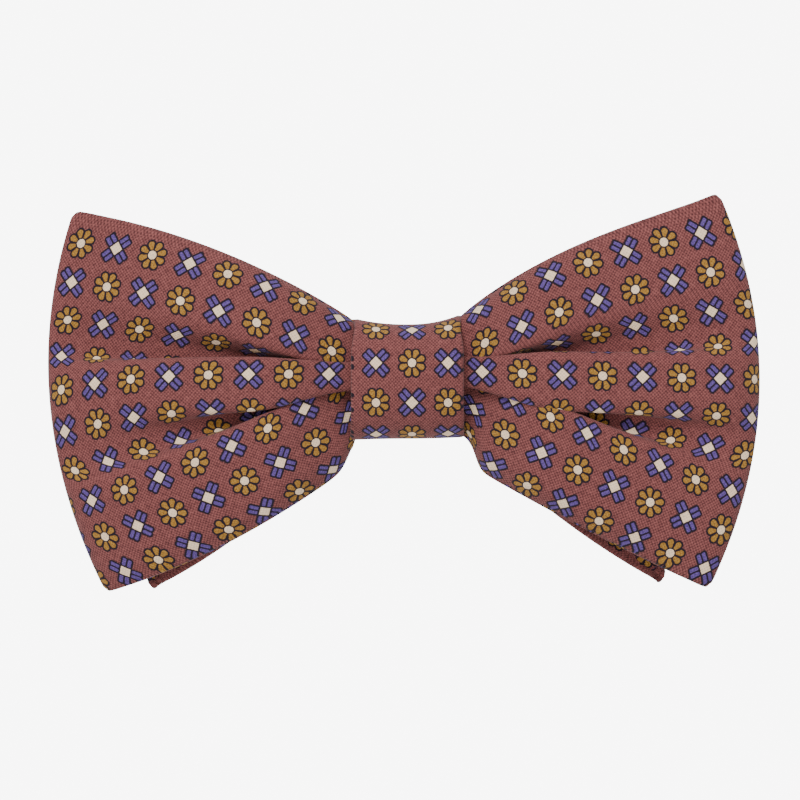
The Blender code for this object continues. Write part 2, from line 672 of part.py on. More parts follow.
def split_along(shape, value, axis):
    """Cut every face where it crosses a plane of constant X or Y."""
    normal = (1.0, 0.0, 0.0) if axis == "X" else (0.0, 1.0, 0.0)
    point = tuple(value * part for part in normal)
    everything = shape.verts[:] + shape.edges[:] + shape.faces[:]
    bmesh.ops.bisect_plane(shape, geom=everything, plane_co=point, plane_no=normal)


def bridge_rails(shape, across, along, half_bar):
    """Open the rails' facing sides where a bar meets them, and join the two openings."""
    facing = []
    for face in shape.faces:
        centre = face.calc_center_median()
        inside = abs(centre.x - across) < half_bar and abs(centre.y - along) < half_bar
        if inside and abs(abs(centre.z) - SLOT_HALF_HEIGHT) < GAP / 3:
            facing.append(face)
    rims = [edge for face in facing for edge in face.edges
            if sum(other in facing for other in edge.link_faces) == 1]
    bmesh.ops.delete(shape, geom=facing, context="FACES_ONLY")
    bmesh.ops.bridge_loops(shape, edges=rims)


def clear_scene():
    for existing in list(bpy.data.objects):
        bpy.data.objects.remove(existing, do_unlink=True)


def main():
    clear_scene()
    printed = material("printed cotton", (0.235, 0.065, 0.058), 0.85)
    canvas = material("interlining canvas", (0.70, 0.64, 0.52), 0.95)
    binding = material("binding thread", (0.16, 0.05, 0.05), 0.7)
    stitching = material("sewing thread", (0.20, 0.06, 0.06), 0.7)
    steel = material("nickel plated steel", (0.60, 0.60, 0.58), 0.25, 1.0)
    build_bow("front_bow", FRONT_BOW, printed, canvas)
    build_bow("back_bow", BACK_BOW, printed, canvas)
    build_knot(printed, canvas, binding, stitching)
    build_neckband(printed, steel, stitching)
    bpy.context.view_layer.update()


main()
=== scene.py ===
"""The looks of the pre-tied bow tie: pleated printed cloth, knot, neckband straps and metal.

Lengths are in millimetres until a mesh is made. +Z is up, the bow faces -Y, and the origin is
the middle of the knot's flat rear face, as in the CAD.

Each wing is one loop of a flat strip. The strip's width is counted in rows of its print, from
the upper edge (negative) to the lower one (positive), with row 0 between them. Two creases and
row 0 split it into four parts, and each part folds by as much as brings it to its height there.
Pairs of numbers are values at the knot and at the wing's tip unless a comment says otherwise.
"""

import math

import bmesh
import bpy
import numpy as np
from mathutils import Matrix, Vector


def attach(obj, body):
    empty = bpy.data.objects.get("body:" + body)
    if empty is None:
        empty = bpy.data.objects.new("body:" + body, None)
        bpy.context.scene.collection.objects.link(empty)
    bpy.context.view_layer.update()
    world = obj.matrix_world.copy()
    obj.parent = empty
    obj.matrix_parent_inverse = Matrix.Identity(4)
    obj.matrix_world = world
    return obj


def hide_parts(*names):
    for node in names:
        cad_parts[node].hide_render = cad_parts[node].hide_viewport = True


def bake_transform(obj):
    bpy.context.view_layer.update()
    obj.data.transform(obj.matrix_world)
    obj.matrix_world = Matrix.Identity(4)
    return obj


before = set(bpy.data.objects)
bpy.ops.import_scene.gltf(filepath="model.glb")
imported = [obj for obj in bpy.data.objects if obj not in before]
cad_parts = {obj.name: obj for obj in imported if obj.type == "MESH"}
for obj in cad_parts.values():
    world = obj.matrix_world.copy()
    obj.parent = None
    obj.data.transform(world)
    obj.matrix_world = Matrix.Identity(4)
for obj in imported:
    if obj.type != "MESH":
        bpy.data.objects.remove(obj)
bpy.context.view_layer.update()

MM = 0.001

# The print's lattice: pitch along the cloth's rows and across them.
PITCH_ALONG = 6.75
PITCH_ACROSS = 6.52

# Wings of the bows. side is +1 for the right one. The loop leaves the knot at mouth and ends at
# reach. Its end is furthest out at the height fullest and falls back above and below it, by
# edge_bow times the square of the distance. roll is the length of the turn at the tip.
# top, bottom: an edge's height (at the knot, at the tip, bulge, how the bulge fades).
# flare: the lower edge drops where the knot lets go (drop, distance from the knot, width).
# crease_1, ridge, crease_2: height of a crease or of row 0 (at the knot, at the tip, power).
# lips: the row where each part turns in towards its crease (at the knot, further out).
# last_row: the lower edge's row.
# The print slides along the cloth: by phase everywhere, by drift_up (at the upper edge, beyond
# the upper lip), by drift_down (at the lower edge, power) and by gather at the tip.
FRONT_RIGHT = dict(
    side=1, mouth=9.2, reach=59.5, fullest=0.0, edge_bow=0.0069,
    top=(10.9, 31.2, 0.61, 1.5), bottom=(-13.2, -34.8, 0.12, 1.0), flare=(4.3, 2.7, 0.6),
    crease_1=(2.7, 9.4, 1.35), crease_2=(-0.35, -11.35, 0.82), phase=5.9, roll=7.5,
    ridge=(1.7, 0.1, 0.6), lips=((-2.50, -2.45), (-0.36, -0.62), (0.42, 0.95), (2.80, 2.60)),
    last_row=(5.31, 5.35), drift_up=(0.6, -1.6), drift_down=(1.0, 1.0), gather=0.85)
FRONT_LEFT = dict(
    side=-1, mouth=9.4, reach=60.7, fullest=2.9, edge_bow=0.0065,
    top=(10.1, 28.2, 0.58, 1.0), bottom=(-13.9, -35.5, 0.40, 1.0), flare=(4.5, 0.3, 0.9),
    crease_1=(1.5, 7.0, 1.1), crease_2=(-1.4, -14.4, 1.0), phase=6.3, roll=14.0,
    ridge=(1.0, -2.1, 4.0), lips=((-2.50, -2.45), (-0.30, -0.46), (0.42, 0.95), (2.80, 2.60)),
    last_row=(5.18, 5.33), drift_up=(1.2, -0.9), drift_down=(3.8, 2.5), gather=2.1)
BACK_LIPS = ((-2.55, -2.45), (-0.40, -0.65), (0.42, 0.95), (2.80, 2.60))
BACK_RIGHT = dict(
    side=1, mouth=9.2, reach=48.3, fullest=0.0, edge_bow=0.0047,
    top=(8.5, 25.4, 0.55, 1.2), bottom=(-8.5, -33.6, 0.28, 1.0), flare=(0.0, 1.5, 0.6),
    crease_1=(3.6, 8.0, 1.1), crease_2=(-1.0, -11.5, 0.9), phase=3.4, roll=2.6,
    ridge=(1.2, 0.0, 1.0), lips=BACK_LIPS,
    last_row=(5.46, 5.46), drift_up=(0.6, 0.0), drift_down=(2.0, 1.0), gather=0.0)
BACK_LEFT = dict(
    side=-1, mouth=9.4, reach=48.9, fullest=0.0, edge_bow=0.0047,
    top=(8.5, 24.8, 0.55, 1.2), bottom=(-8.5, -34.6, 0.36, 1.0), flare=(0.0, 1.5, 0.9),
    crease_1=(3.2, 7.0, 1.0), crease_2=(-1.2, -12.5, 1.0), phase=-2.9, roll=2.6,
    ridge=(1.2, -1.5, 2.0), lips=BACK_LIPS,
    last_row=(5.46, 5.46), drift_up=(1.2, 0.0), drift_down=(4.5, 1.5), gather=0.0)
FIRST_ROW = (-4.30, -4.76)
CREASE_ROWS = (-1.45, 1.75)
LIPS_SETTLED = 0.35
# Sampled rows between the edges, lips, creases and row 0, in their order from the top.
ROW_COUNTS = (20, 16, 16, 6, 6, 18, 18, 26)

# The shape of the folds: widths in rows over which a lip and a crease turn, and how much the
# cloth curls at its two edges as a share of the fold's own tilt.
LIP_SOFTNESS = (0.30, 1.2)
CREASE_WIDTH = (0.08, 0.7)
UPPER_CURL = 0.75
LOWER_CURL = 0.45
CURL_ROWS = 0.9
# A part is never flatter than this share of its width, reached over a soft knee.
FLATTEST = 0.985
FLATTEST_KNEE = 0.02
STEEPEST = math.radians(128.0)
BISECTIONS = 26
# The wing crowns towards its edges, on the rear ply by this share of the front ply's rise.
CROWN_RISE = 2.2
CROWN_ROW = 0.4
CROWN_REACH = 5.0
REAR_CROWN = 0.15

# Where the print leaves the lattice: past PLAIN_ROW the cloth stays plain up to its upper edge.
PLAIN_ROW = -4.38
PLAIN_ROW_SCALE = 0.58
DRIFT_UP_ROWS = 4.0
DRIFT_DOWN_ROWS = 5.0
UPPER_LIP_ROW = 2.2
UPPER_LIP_SOFTNESS = 0.6

# Stations along a loop. It starts INSIDE_KNOT behind the knot's edge, squeezed and tucked in
# there, and its plies reach their full depth and relief at these shares of the way out.
INSIDE_KNOT = 2.4
ENTRY_RUN = 1.6
ENTRY_SQUEEZE = 0.25
ENTRY_TUCK = 0.5
NEAR_KNOT = 0.12
DEPTH_SETTLED = 0.30
RELIEF_SETTLED = 0.28
STATIONS_NEAR_KNOT = 20
STATIONS_ON_WING = 59
STATIONS_ROUND_TIP = 27
STATIONS_BEHIND_KNOT = 5
COLUMNS_BEHIND_KNOT = 4

# Depths of the plies: front and rear of each loop at the knot and out on the wing.
FRONT_BOW = dict(front_y=-18.0, rear_y=-9.4, mouth_front=-14.6, mouth_rear=-8.2,
                 front_relief=0.72, rear_relief=0.12, mouth_relief=0.70)
BACK_BOW = dict(front_y=-6.9, rear_y=-3.4, mouth_front=-6.4, mouth_rear=-4.0,
                front_relief=0.10, rear_relief=0.14, mouth_relief=0.6)
STRIP_THICKNESS = 1.1
TIP_ROUNDING = 0.5
TIP_ROUNDING_RUN = 1.0

# The knot: a pillow in front, flat behind, with its seam underneath. Its edges flare at the
# sides (left, right) as a power of the share of the half-width, and its front falls back.
KNOT_HALF_WIDTH = 9.15
KNOT_TOP = 9.45
KNOT_BOTTOM = -9.95
KNOT_FRONT = -18.6
KNOT_DEPTH = 8.0
KNOT_ROUNDNESS = 2.4
KNOT_REAR_RADIUS = 2.0
KNOT_REAR_STEP = 0.7
KNOT_THICKNESS = 1.1
KNOT_TOP_FLARE = (0.9, 1.5)
KNOT_TOP_POWER = 2.2
KNOT_BOTTOM_FLARE = (-0.2, 0.25)
KNOT_BOTTOM_POWER = 2
KNOT_FRONT_FALL = 1.3
KNOT_FRONT_POWER = 2.5
# Above KNOT_WAIST_FROM and in front of KNOT_WAIST_Y it is narrower by KNOT_WAIST at each side.
KNOT_WAIST = 0.7
KNOT_WAIST_FROM = 4.0
KNOT_WAIST_RUN = 6.0
KNOT_WAIST_Y = -6.0
KNOT_STATIONS = 41
KNOT_PILLOW_STEPS = 61
KNOT_CORNER_STEPS = 8
KNOT_SAMPLES = 170
# The seam: its place, and where the wrap starts and ends (in front of it, above or below the
# wrap's lower edge). The wrap's start is lapped by its end.
KNOT_SEAM_Y = -3.2
SEAM_START = (1.4, 0.6)
SEAM_END = (0.6, 0.15)
LAP_RUN = 3.0
LAP_RISE = 0.9
# The knot's print: the middle of a motif across the knot and up its front, and its pitch across.
KNOT_PRINT_X = 0.76
KNOT_PRINT_Z = 2.9
KNOT_PRINT_PITCH = 6.07

# The neckband, as in the CAD.
STRAP_Y = -1.2
STRAP_HALF_HEIGHT = 7.5
STRAP_HALF_THICKNESS = 0.5
BAND_FLAT = 12.0
BAND_FRONT_RADIUS = 43.0
BAND_SIDE_RUN = 18.0
BAND_REAR_RADIUS = 55.0
HINGE_BEND = math.radians(50.0)
REST_OPENING = math.radians(5.0)
TURN_RADIUS = 1.4
LAYER_PITCH = 1.3
FASTENED_SPAN = 19.2
# The slider's strap takes over from the right one this far before the hook's bar.
TAIL_JOINT = 4.0
BAND_STEP = 1.5
BAND_STATIONS = 130
SLIDER_ANGLE = math.radians(45.0)
END_TAIL = 12.0
TAPER_RUN = 8.0
FRONT_ARC_END = BAND_FLAT + BAND_FRONT_RADIUS * math.pi / 2
SIDE_END = FRONT_ARC_END + BAND_SIDE_RUN
HALF_BAND = SIDE_END + BAND_REAR_RADIUS * math.pi / 2
REAR_CENTRE_Y = STRAP_Y + BAND_FRONT_RADIUS + BAND_SIDE_RUN
HINGE_RUN = BAND_FLAT + BAND_FRONT_RADIUS * HINGE_BEND
PIVOT_BEND = math.asin(FASTENED_SPAN / 2 / (BAND_REAR_RADIUS - TURN_RADIUS))
PIVOT_RUN = HALF_BAND - BAND_REAR_RADIUS * PIVOT_BEND
SLIDER_RUN = SIDE_END + BAND_REAR_RADIUS * SLIDER_ANGLE
BEND_BEFORE = 9.0
BEND_AFTER = 9.0
TURN_POINTS = 15

# The strap's section: levels at which it is sampled, the rounded rim and the stitched groove.
STRAP_LEVELS = (7.5, 7.44, 7.25, 6.95, 6.55, 6.3, 6.1, 5.9, 5.65, 4.8, 3.2, 1.6)
RIM_FROM = 6.95
RIM_RUN = 0.55
RIM_FLOOR = 0.02
GROOVE_DEPTH = 0.10
GROOVE_LEVEL = 6.1
GROOVE_WIDTH = 0.22

# Sewing: threads, topstitching along the straps, bar tacks and the stitches under the knot.
THREAD_RADIUS = 0.17
THREAD_SIDES = 6
STITCH_POINTS = 6
STITCH_LENGTH = 2.3
STITCH_GAP = 0.5
STITCH_INSET = 1.4
STITCH_SINK = 0.02
STITCH_DIVE = 0.30
STITCHES_FROM_KNOT = 10.0
STITCHES_TO_BAR = 3.0
STITCHES_FROM_JOINT = 1.0
STITCHES_FROM_TURN = 2.0
TACK_THREAD_RADIUS = 0.2
TACK_STITCHES = 34
TACK_HALF_HEIGHT = 6.2
TACK_HALF_WIDTH = 0.8
TACK_FROM_END = 2.0
TACK_PROUD = 0.1
SLIP_STITCHES = 15
SLIP_POINTS = 7
SLIP_REACH = 8.0
SLIP_SLANT = 0.5
SLIP_START = 1.5
SLIP_LENGTH = 1.9
SLIP_RISE = 0.55
SLIP_SINK = 0.3
SLIP_BULGE = 0.12
SLIP_DIVE = 0.35

SHARP_ANGLE = math.radians(60.0)

# The print's motifs. Petals run from near to far and widen (at near, at far). Each arm of the
# crossed bars has two bars, out from the middle and aside of the arm's line, with round ends.
PETALS = 8
PETAL_NEAR = 1.12
PETAL_FAR = 1.87
PETAL_HALF_WIDTHS = (0.27, 0.51)
DISC_RADIUS = 0.73
DISC_RIM_RADIUS = 0.96
BAR_OUT = 1.82
BAR_HALF_LENGTH = 0.55
BAR_ASIDE = 0.45
BAR_HALF_WIDTH = 0.12
BAR_ROUNDING = 0.18
SQUARE_REACH = 0.79
SQUARE_RIM_REACH = 0.98
MOTIF_RIM = 0.33
PRINT_SOFTNESS = 0.05
# Threads wander a little, so the print's edges do too.
WANDER = 0.16
WANDER_SCALE = 3.4
# Gold and blue are speckled between these values of a noise.
SPECKLE_SCALE = 4.5
SPECKLE_ROUGHNESS = 0.7
SPECKLE_RANGE = (0.38, 0.66)

# The weave: pitch, slubs (scale along a thread, scale across it) and how both change the tone.
# The weave's share of the tone is painted shade: lighter on the crossings, darker in the hollows.
WEAVE_PITCH = 0.31
SLUB_SCALES = (0.9, 7.0)
# Painted shade: how much lighter the weave's crossings and darker its hollows are painted.
WEAVE_RELIEF_SHADE = 0.42
SLUB_TONE = 1.1
TONE_FLOOR = 0.60
SLUB_HEIGHT = 0.5
GROUND_EVENNESS = 0.30
# Darkest and lightest multiplier of every colour, from the weave's painted shade and slub tone.
# Bumps are (strength, height in metres).
WEAVE_SHADE_AND_SLUB_TONE = (0.74, 1.12)
COTTON_ROUGHNESS = 0.88
COTTON_SHEEN = 0.12
COTTON_SHEEN_ROUGHNESS = 0.5
COTTON_SPECULAR = 0.25
COTTON_BUMP = (0.35, 0.00008)

TWIST_SCALE = 2200.0
TWIST_DISTORTION = 1.5
THREAD_ROUGHNESS = 0.72
THREAD_BUMP = (0.4, 0.00006)

METAL_GRAIN_SCALE = 900.0
METAL_ROUGHNESS = 0.14
METAL_ROUGHNESS_SPREAD = 0.14

# Light, floor and camera, in metres and watts.
SOFT_LIGHT = 0.75
WHITE_BACKDROP = 8.0
KEY_PLACE = (-0.25, -0.75, 0.75)
KEY_SIZE = 0.5
KEY_POWER = 8.75
FLOOR_HALF = 1.5
FLOOR_LEVEL = -0.20
FLOOR_COLOUR = (0.85, 0.85, 0.85, 1)
FLOOR_ROUGHNESS = 0.9
SENSOR_WIDTH = 36.0
CAMERA_DISTANCE = 1.2
FRAME_WIDTH = 0.1348
FRAME_MIDDLE = (-0.00126, -0.016, -0.00337)
CLIP_START = 0.05


def linear(red, green, blue):
    """Linear colour from 0-255 display values."""
    def channel(value):
        value = value / 255.0
        return value / 12.92 if value <= 0.04045 else ((value + 0.055) / 1.055) ** 2.4
    return (channel(red), channel(green), channel(blue), 1.0)


# GROUND_DARK, GROUND_LIGHT: shaded and lit ground for the weave's painted shade and slub tone.
GROUND = linear(119, 61, 60)
GROUND_LIGHT = linear(156, 94, 90)
GROUND_DARK = linear(76, 34, 38)
OUTLINE = linear(30, 18, 32)
BLUE = linear(74, 52, 124)
BLUE_LIGHT = linear(116, 92, 156)
GOLD = linear(148, 98, 24)
GOLD_LIGHT = linear(182, 140, 70)
CREAM = linear(255, 224, 188)
# THREAD_SHADED, THREAD_LIT: shaded and lit copies of the thread, painted along its twist.
THREAD_SHADED = linear(84, 40, 42)
THREAD_LIT = linear(134, 76, 74)
METAL_DARK = linear(150, 149, 148)
METAL_LIGHT = linear(190, 188, 184)


def smooth(value):
    value = np.clip(value, 0.0, 1.0)
    return value * value * (3.0 - 2.0 * value)


def mix(start, end, share):
    return start + (end - start) * share


# ---- meshes from grids
def add_object(name, data):
    made = bpy.data.objects.new(name, data)
    bpy.context.scene.collection.objects.link(made)
    return made


def closed_strip(name, outer, inner, outer_cloth, inner_cloth, material):
    """A flat closed tube: outer and inner faces are grids, one line of points per station."""
    grid = np.concatenate([outer, inner[:, ::-1]], axis=1)
    cloth = np.concatenate([outer_cloth, inner_cloth[:, ::-1]], axis=1)
    lines, count = grid.shape[:2]
    index = np.arange(lines * count).reshape(lines, count)
    following = np.roll(index, -1, axis=1)
    faces = np.stack([index[:-1], following[:-1], following[1:], index[1:]], axis=2)
    faces = faces.reshape(-1, 4).tolist()
    half = count // 2
    for line in (index[0], index[-1]):
        for step in range(half - 1):
            faces.append([line[step], line[step + 1], line[-2 - step], line[-1 - step]])
    mesh = bpy.data.meshes.new(name)
    mesh.from_pydata((grid.reshape(-1, 3) * MM).tolist(), [], faces)
    layer = mesh.uv_layers.new(name="cloth")
    corners = np.empty(len(mesh.loops), dtype=np.int32)
    mesh.loops.foreach_get("vertex_index", corners)
    layer.data.foreach_set("uv", cloth.reshape(-1, 2)[corners].astype(np.float32).ravel())
    return object_from_mesh(name, mesh, material)


def object_from_mesh(name, mesh, material):
    shape = bmesh.new()
    shape.from_mesh(mesh)
    bmesh.ops.recalc_face_normals(shape, faces=shape.faces)
    shape.to_mesh(mesh)
    shape.free()
    mesh.shade_smooth()
    mesh.set_sharp_from_angle(angle=SHARP_ANGLE)
    mesh.materials.append(material)
    return add_object(name, mesh)


def grid_normals(points):
    across = np.gradient(points, axis=1)
    along = np.gradient(points, axis=0)
    normals = np.cross(across, along)
    return normals / np.maximum(np.linalg.norm(normals, axis=2, keepdims=True), 1e-9)


def thick_strip(name, points, cloth, thickness, material):
    """Give a sheet its thickness, with round folded edges at the first and last points."""
    normals = grid_normals(points)
    radius = thickness / 2
    rims = {}
    for edge, neighbour in ((0, 1), (-1, -2)):
        away = points[:, edge] - points[:, neighbour]
        away = away / np.linalg.norm(away, axis=1, keepdims=True)
        centre = points[:, edge] - normals[:, edge] * radius
        for step in range(1, 5):
            turn = math.pi * step / 5
            ring = (centre + normals[:, edge] * radius * math.cos(turn)
                    + away * radius * math.sin(turn))
            mark = cloth[:, edge]
            rims[edge, step] = (ring[:, None], mark[:, None])
    inner = points - normals * thickness
    parts = []
    for sheet, steps in (((points, cloth), (2, 1)), ((inner, cloth), (3, 4))):
        for part in range(2):
            pieces = [rims[0, steps[0]][part], rims[0, steps[1]][part], sheet[part],
                      rims[-1, steps[1]][part], rims[-1, steps[0]][part]]
            parts.append(np.concatenate(pieces, axis=1))
    return closed_strip(name, parts[0], parts[2], parts[1], parts[3], material)


def build_threads(name, runs, radius, material):
    """Round threads in one mesh, each along its own array of points."""
    points = []
    faces = []
    sides = THREAD_SIDES
    for run in runs:
        base = len(points)
        tangent = np.gradient(run, axis=0)
        tangent = tangent / np.linalg.norm(tangent, axis=1, keepdims=True)
        helper = np.where(np.abs(tangent[:, 2:]) < 0.8, [[0.0, 0.0, 1.0]], [[1.0, 0.0, 0.0]])
        first = np.cross(tangent, helper)
        first = first / np.linalg.norm(first, axis=1, keepdims=True)
        second = np.cross(tangent, first)
        for spot, one, two in zip(run, first, second):
            for side in range(sides):
                turn = 2 * math.pi * side / sides
                points.append(spot + radius * (one * math.cos(turn) + two * math.sin(turn)))
        for step in range(len(run) - 1):
            for side in range(sides):
                near = base + step * sides
                following = (side + 1) % sides
                faces.append([near + side, near + following,
                              near + sides + following, near + sides + side])
        faces.append([base + side for side in range(sides)])
        last = base + (len(run) - 1) * sides
        faces.append([last + side for side in reversed(range(sides))])
    mesh = bpy.data.meshes.new(name)
    mesh.from_pydata((np.array(points) * MM).tolist(), [], faces)
    return object_from_mesh(name, mesh, material)


# ---- pleated wings
def edge_height(share, spec):
    at_knot, at_tip, bulge, fade = spec
    return mix(at_knot, at_tip, share + bulge * share * (1.0 - share) ** fade)


def wing_edges(wing, share):
    """Heights of a wing's upper and lower edges, the lower one flaring beside the knot."""
    drop, distance, width = wing["flare"]
    out = share * (wing["reach"] - wing["mouth"])
    lift = drop / (1.0 + math.exp((out - distance) / width))
    return edge_height(share, wing["top"]), edge_height(share, wing["bottom"]) + lift


def guide_height(share, spec):
    at_knot, at_tip, power = spec
    return mix(at_knot, at_tip, share ** power)


def lip_row(wing, part, share):
    at_knot, settled = wing["lips"][part]
    return mix(at_knot, settled, smooth(share / LIPS_SETTLED))


def fold_tilt(rows, first, last, part, lip, share):
    """Shape of the tilt across the rows in one of the four parts, which end at creases and row 0."""
    soft = mix(*LIP_SOFTNESS, share)
    crease_width = mix(*CREASE_WIDTH, share)
    tilt = np.zeros_like(rows)
    if part in (0, 2):
        tilt += smooth((rows - lip) / soft + 0.5)
    else:
        tilt -= smooth((lip - rows) / soft + 0.5)
    for crease in CREASE_ROWS:
        tilt *= smooth(np.abs(rows - crease) / crease_width)
    if part == 0:
        tilt -= UPPER_CURL * smooth((first + CURL_ROWS - rows) / CURL_ROWS)
    if part == 3:
        tilt += LOWER_CURL * smooth((rows - last + CURL_ROWS) / CURL_ROWS)
    return tilt


def fit_part(rows, first, last, height, part, lip, share_out):
    """Fold one part by as much as brings its projected height to the one wanted."""
    middle = 0.5 * (rows[1:] + rows[:-1])
    run = np.diff(rows) * PITCH_ACROSS
    tilt = fold_tilt(middle, first, last, part, lip, share_out)
    share = height / np.sum(run)
    over = math.log1p(math.exp((FLATTEST - share) / FLATTEST_KNEE))
    share = FLATTEST - FLATTEST_KNEE * over
    low = 0.0
    high = STEEPEST
    for _ in range(BISECTIONS):
        amount = 0.5 * (low + high)
        if np.sum(run * np.cos(amount * tilt)) > share * np.sum(run):
            low = amount
        else:
            high = amount
    down = run * np.cos(amount * tilt)
    return down * (height / np.sum(down)), run * np.sin(amount * tilt)


def sampled_rows(first, last, lips):
    """Rows at which the cloth is sampled, closer together at lips and creases."""
    ends = [first, lips[0], CREASE_ROWS[0], lips[1], 0.0, lips[2], CREASE_ROWS[1], lips[3], last]
    parts = [np.linspace(start, end, count, endpoint=False)
             for start, end, count in zip(ends[:-1], ends[1:], ROW_COUNTS)]
    return np.concatenate(parts + [np.array([last])])


def reach_at(wing, share, fall):
    """Distance from the knot's middle at one share of the way out and of the way down."""
    tip_high = wing["top"][1]
    tip_low = wing["bottom"][1]
    height = mix(tip_high, tip_low, fall)
    end = wing["reach"] - wing["edge_bow"] * (height - wing["fullest"]) ** 2
    from_edge = np.minimum(height - tip_low, tip_high - height)
    rounding = np.clip(1.0 - from_edge / TIP_ROUNDING_RUN, 0.0, 1.0) ** 2
    end = end - TIP_ROUNDING * rounding
    return wing["mouth"] + (end - wing["mouth"]) * share


def wing_section(wing, share):
    """Rows, heights and relief (positive towards the rear) of the cloth at one station."""
    share = max(share, 0.0)
    upper, lower = wing_edges(wing, share)
    first = mix(*FIRST_ROW, share)
    last = mix(*wing["last_row"], share)
    lips = [lip_row(wing, part, share) for part in range(4)]
    rows = sampled_rows(first, last, lips)
    ends = np.cumsum(ROW_COUNTS)
    borders = (0, ends[1], ends[3], ends[5], ends[7])
    heights = np.array([upper, guide_height(share, wing["crease_1"]),
                        guide_height(share, wing["ridge"]),
                        guide_height(share, wing["crease_2"]), lower])
    places = reach_at(wing, share, (upper - heights) / (upper - lower))
    down = []
    back = []
    for part in range(4):
        piece = rows[borders[part]:borders[part + 1] + 1]
        height = heights[part] - heights[part + 1]
        room = math.hypot(height, places[part] - places[part + 1])
        part_down, part_back = fit_part(piece, first, last, room, part, lips[part], share)
        down.append(part_down * height / room)
        back.append(part_back)
    height = upper - np.concatenate([[0.0], np.cumsum(np.concatenate(down))])
    relief = np.concatenate([[0.0], np.cumsum(np.concatenate(back))])
    relief = relief - relief[borders[2]]
    crown = CROWN_RISE * ((rows - CROWN_ROW) / CROWN_REACH) ** 2
    return rows, height, relief, crown


def loop_stations(wing, bow):
    """Plan of one loop from its front mouth round to its rear one: (share, depth, turn)."""
    reach = wing["reach"] - wing["mouth"]
    inside = -INSIDE_KNOT / reach
    flat = 1.0 - wing["roll"] / reach
    near = np.linspace(inside, NEAR_KNOT, STATIONS_NEAR_KNOT, endpoint=False)
    far = np.linspace(NEAR_KNOT, flat, STATIONS_ON_WING, endpoint=False)
    shares = np.concatenate([near, far])
    middle = 0.5 * (bow["front_y"] + bow["rear_y"])
    depth = 0.5 * (bow["rear_y"] - bow["front_y"])
    stations = []
    for share in shares:
        y = mix(bow["mouth_front"], bow["front_y"], smooth(share / DEPTH_SETTLED))
        stations.append((share, y, 0.0))
    for turn in np.linspace(0.0, math.pi, STATIONS_ROUND_TIP):
        share = flat + (1.0 - flat) * math.sin(turn)
        stations.append((share, middle - depth * math.cos(turn), turn))
    for share in shares[::-1]:
        y = mix(bow["mouth_rear"], bow["rear_y"], smooth(share / DEPTH_SETTLED))
        stations.append((share, y, math.pi))
    return stations


def wing_surface(wing, bow):
    """Points and cloth coordinates of a whole loop, one line of rows per station."""
    points = []
    rows_at = []
    depth_counts = []
    progress = []
    mouth_y = 0.5 * (bow["mouth_front"] + bow["mouth_rear"])
    for share, y, turn in loop_stations(wing, bow):
        rows, height, relief, crown = wing_section(wing, share)
        entry = smooth(-share * (wing["reach"] - wing["mouth"]) / ENTRY_RUN)
        squeeze = 1.0 - ENTRY_SQUEEZE * entry
        fall = (height[0] - height) / (height[0] - height[-1])
        x = reach_at(wing, share, fall)
        easing = mix(bow["mouth_relief"], 1.0, smooth(share / RELIEF_SETTLED))
        swing = abs(math.cos(turn))
        on_front = turn < math.pi / 2
        if on_front:
            lift = bow["front_relief"] * relief * easing + crown
        else:
            lift = -bow["rear_relief"] * relief * easing - REAR_CROWN * crown
        depth = mix(y + lift * swing, mouth_y, ENTRY_TUCK * entry * on_front)
        points.append(np.stack([x * wing["side"], depth, height * squeeze], axis=1))
        rows_at.append(rows)
        depth_counts.append([1.0, 0.0 if turn == 0.0 else 1.0, 1.0])
        progress.append(share if on_front else 1.0)
    points = np.array(points)
    rows_at = np.array(rows_at)
    # On the front ply the print is spaced as it looks from the front.
    steps = np.diff(points, axis=0) * np.array(depth_counts)[1:, None, :]
    steps = np.linalg.norm(steps, axis=2)
    along = np.concatenate([np.zeros((1, points.shape[1])), np.cumsum(steps, axis=0)])
    spread, over_lip = wing["drift_up"]
    up = spread * np.clip(-rows_at / DRIFT_UP_ROWS, 0.0, None)
    up = up + over_lip * smooth((-rows_at - UPPER_LIP_ROW) / UPPER_LIP_SOFTNESS)
    amount, power = wing["drift_down"]
    down = amount * np.clip(rows_at / DRIFT_DOWN_ROWS, 0.0, None) ** power
    # The outer half of the wing is gathered a little more towards its tip.
    outer_half = np.clip(np.array(progress)[:, None] * 2.0 - 1.0, 0.0, None)
    turned = along - wing["phase"] + up + down + wing["gather"] * outer_half ** 2
    plain = PLAIN_ROW + PLAIN_ROW_SCALE * (rows_at - PLAIN_ROW)
    rows_at = np.where(rows_at < PLAIN_ROW, plain, rows_at)
    return points, np.stack([turned, -rows_at * PITCH_ACROSS], axis=2)


def build_bow(name, left, right, bow, material):
    """One strip folded into two loops, joined behind the knot."""
    left_points, left_cloth = wing_surface(left, bow)
    right_points, right_cloth = wing_surface(right, bow)
    left_points = left_points[::-1]
    left_cloth = left_cloth[::-1] * np.array([-1.0, 1.0])
    right_cloth = right_cloth + np.array([COLUMNS_BEHIND_KNOT * PITCH_ALONG, 0.0])
    shares = np.linspace(0.0, 1.0, STATIONS_BEHIND_KNOT + 2)[1:-1, None, None]
    points, cloth = [np.concatenate([first, mix(first[-1:], last[:1], shares), last])
                     for first, last in ((left_points, right_points), (left_cloth, right_cloth))]
    return thick_strip(name, points, cloth, STRIP_THICKNESS, material)


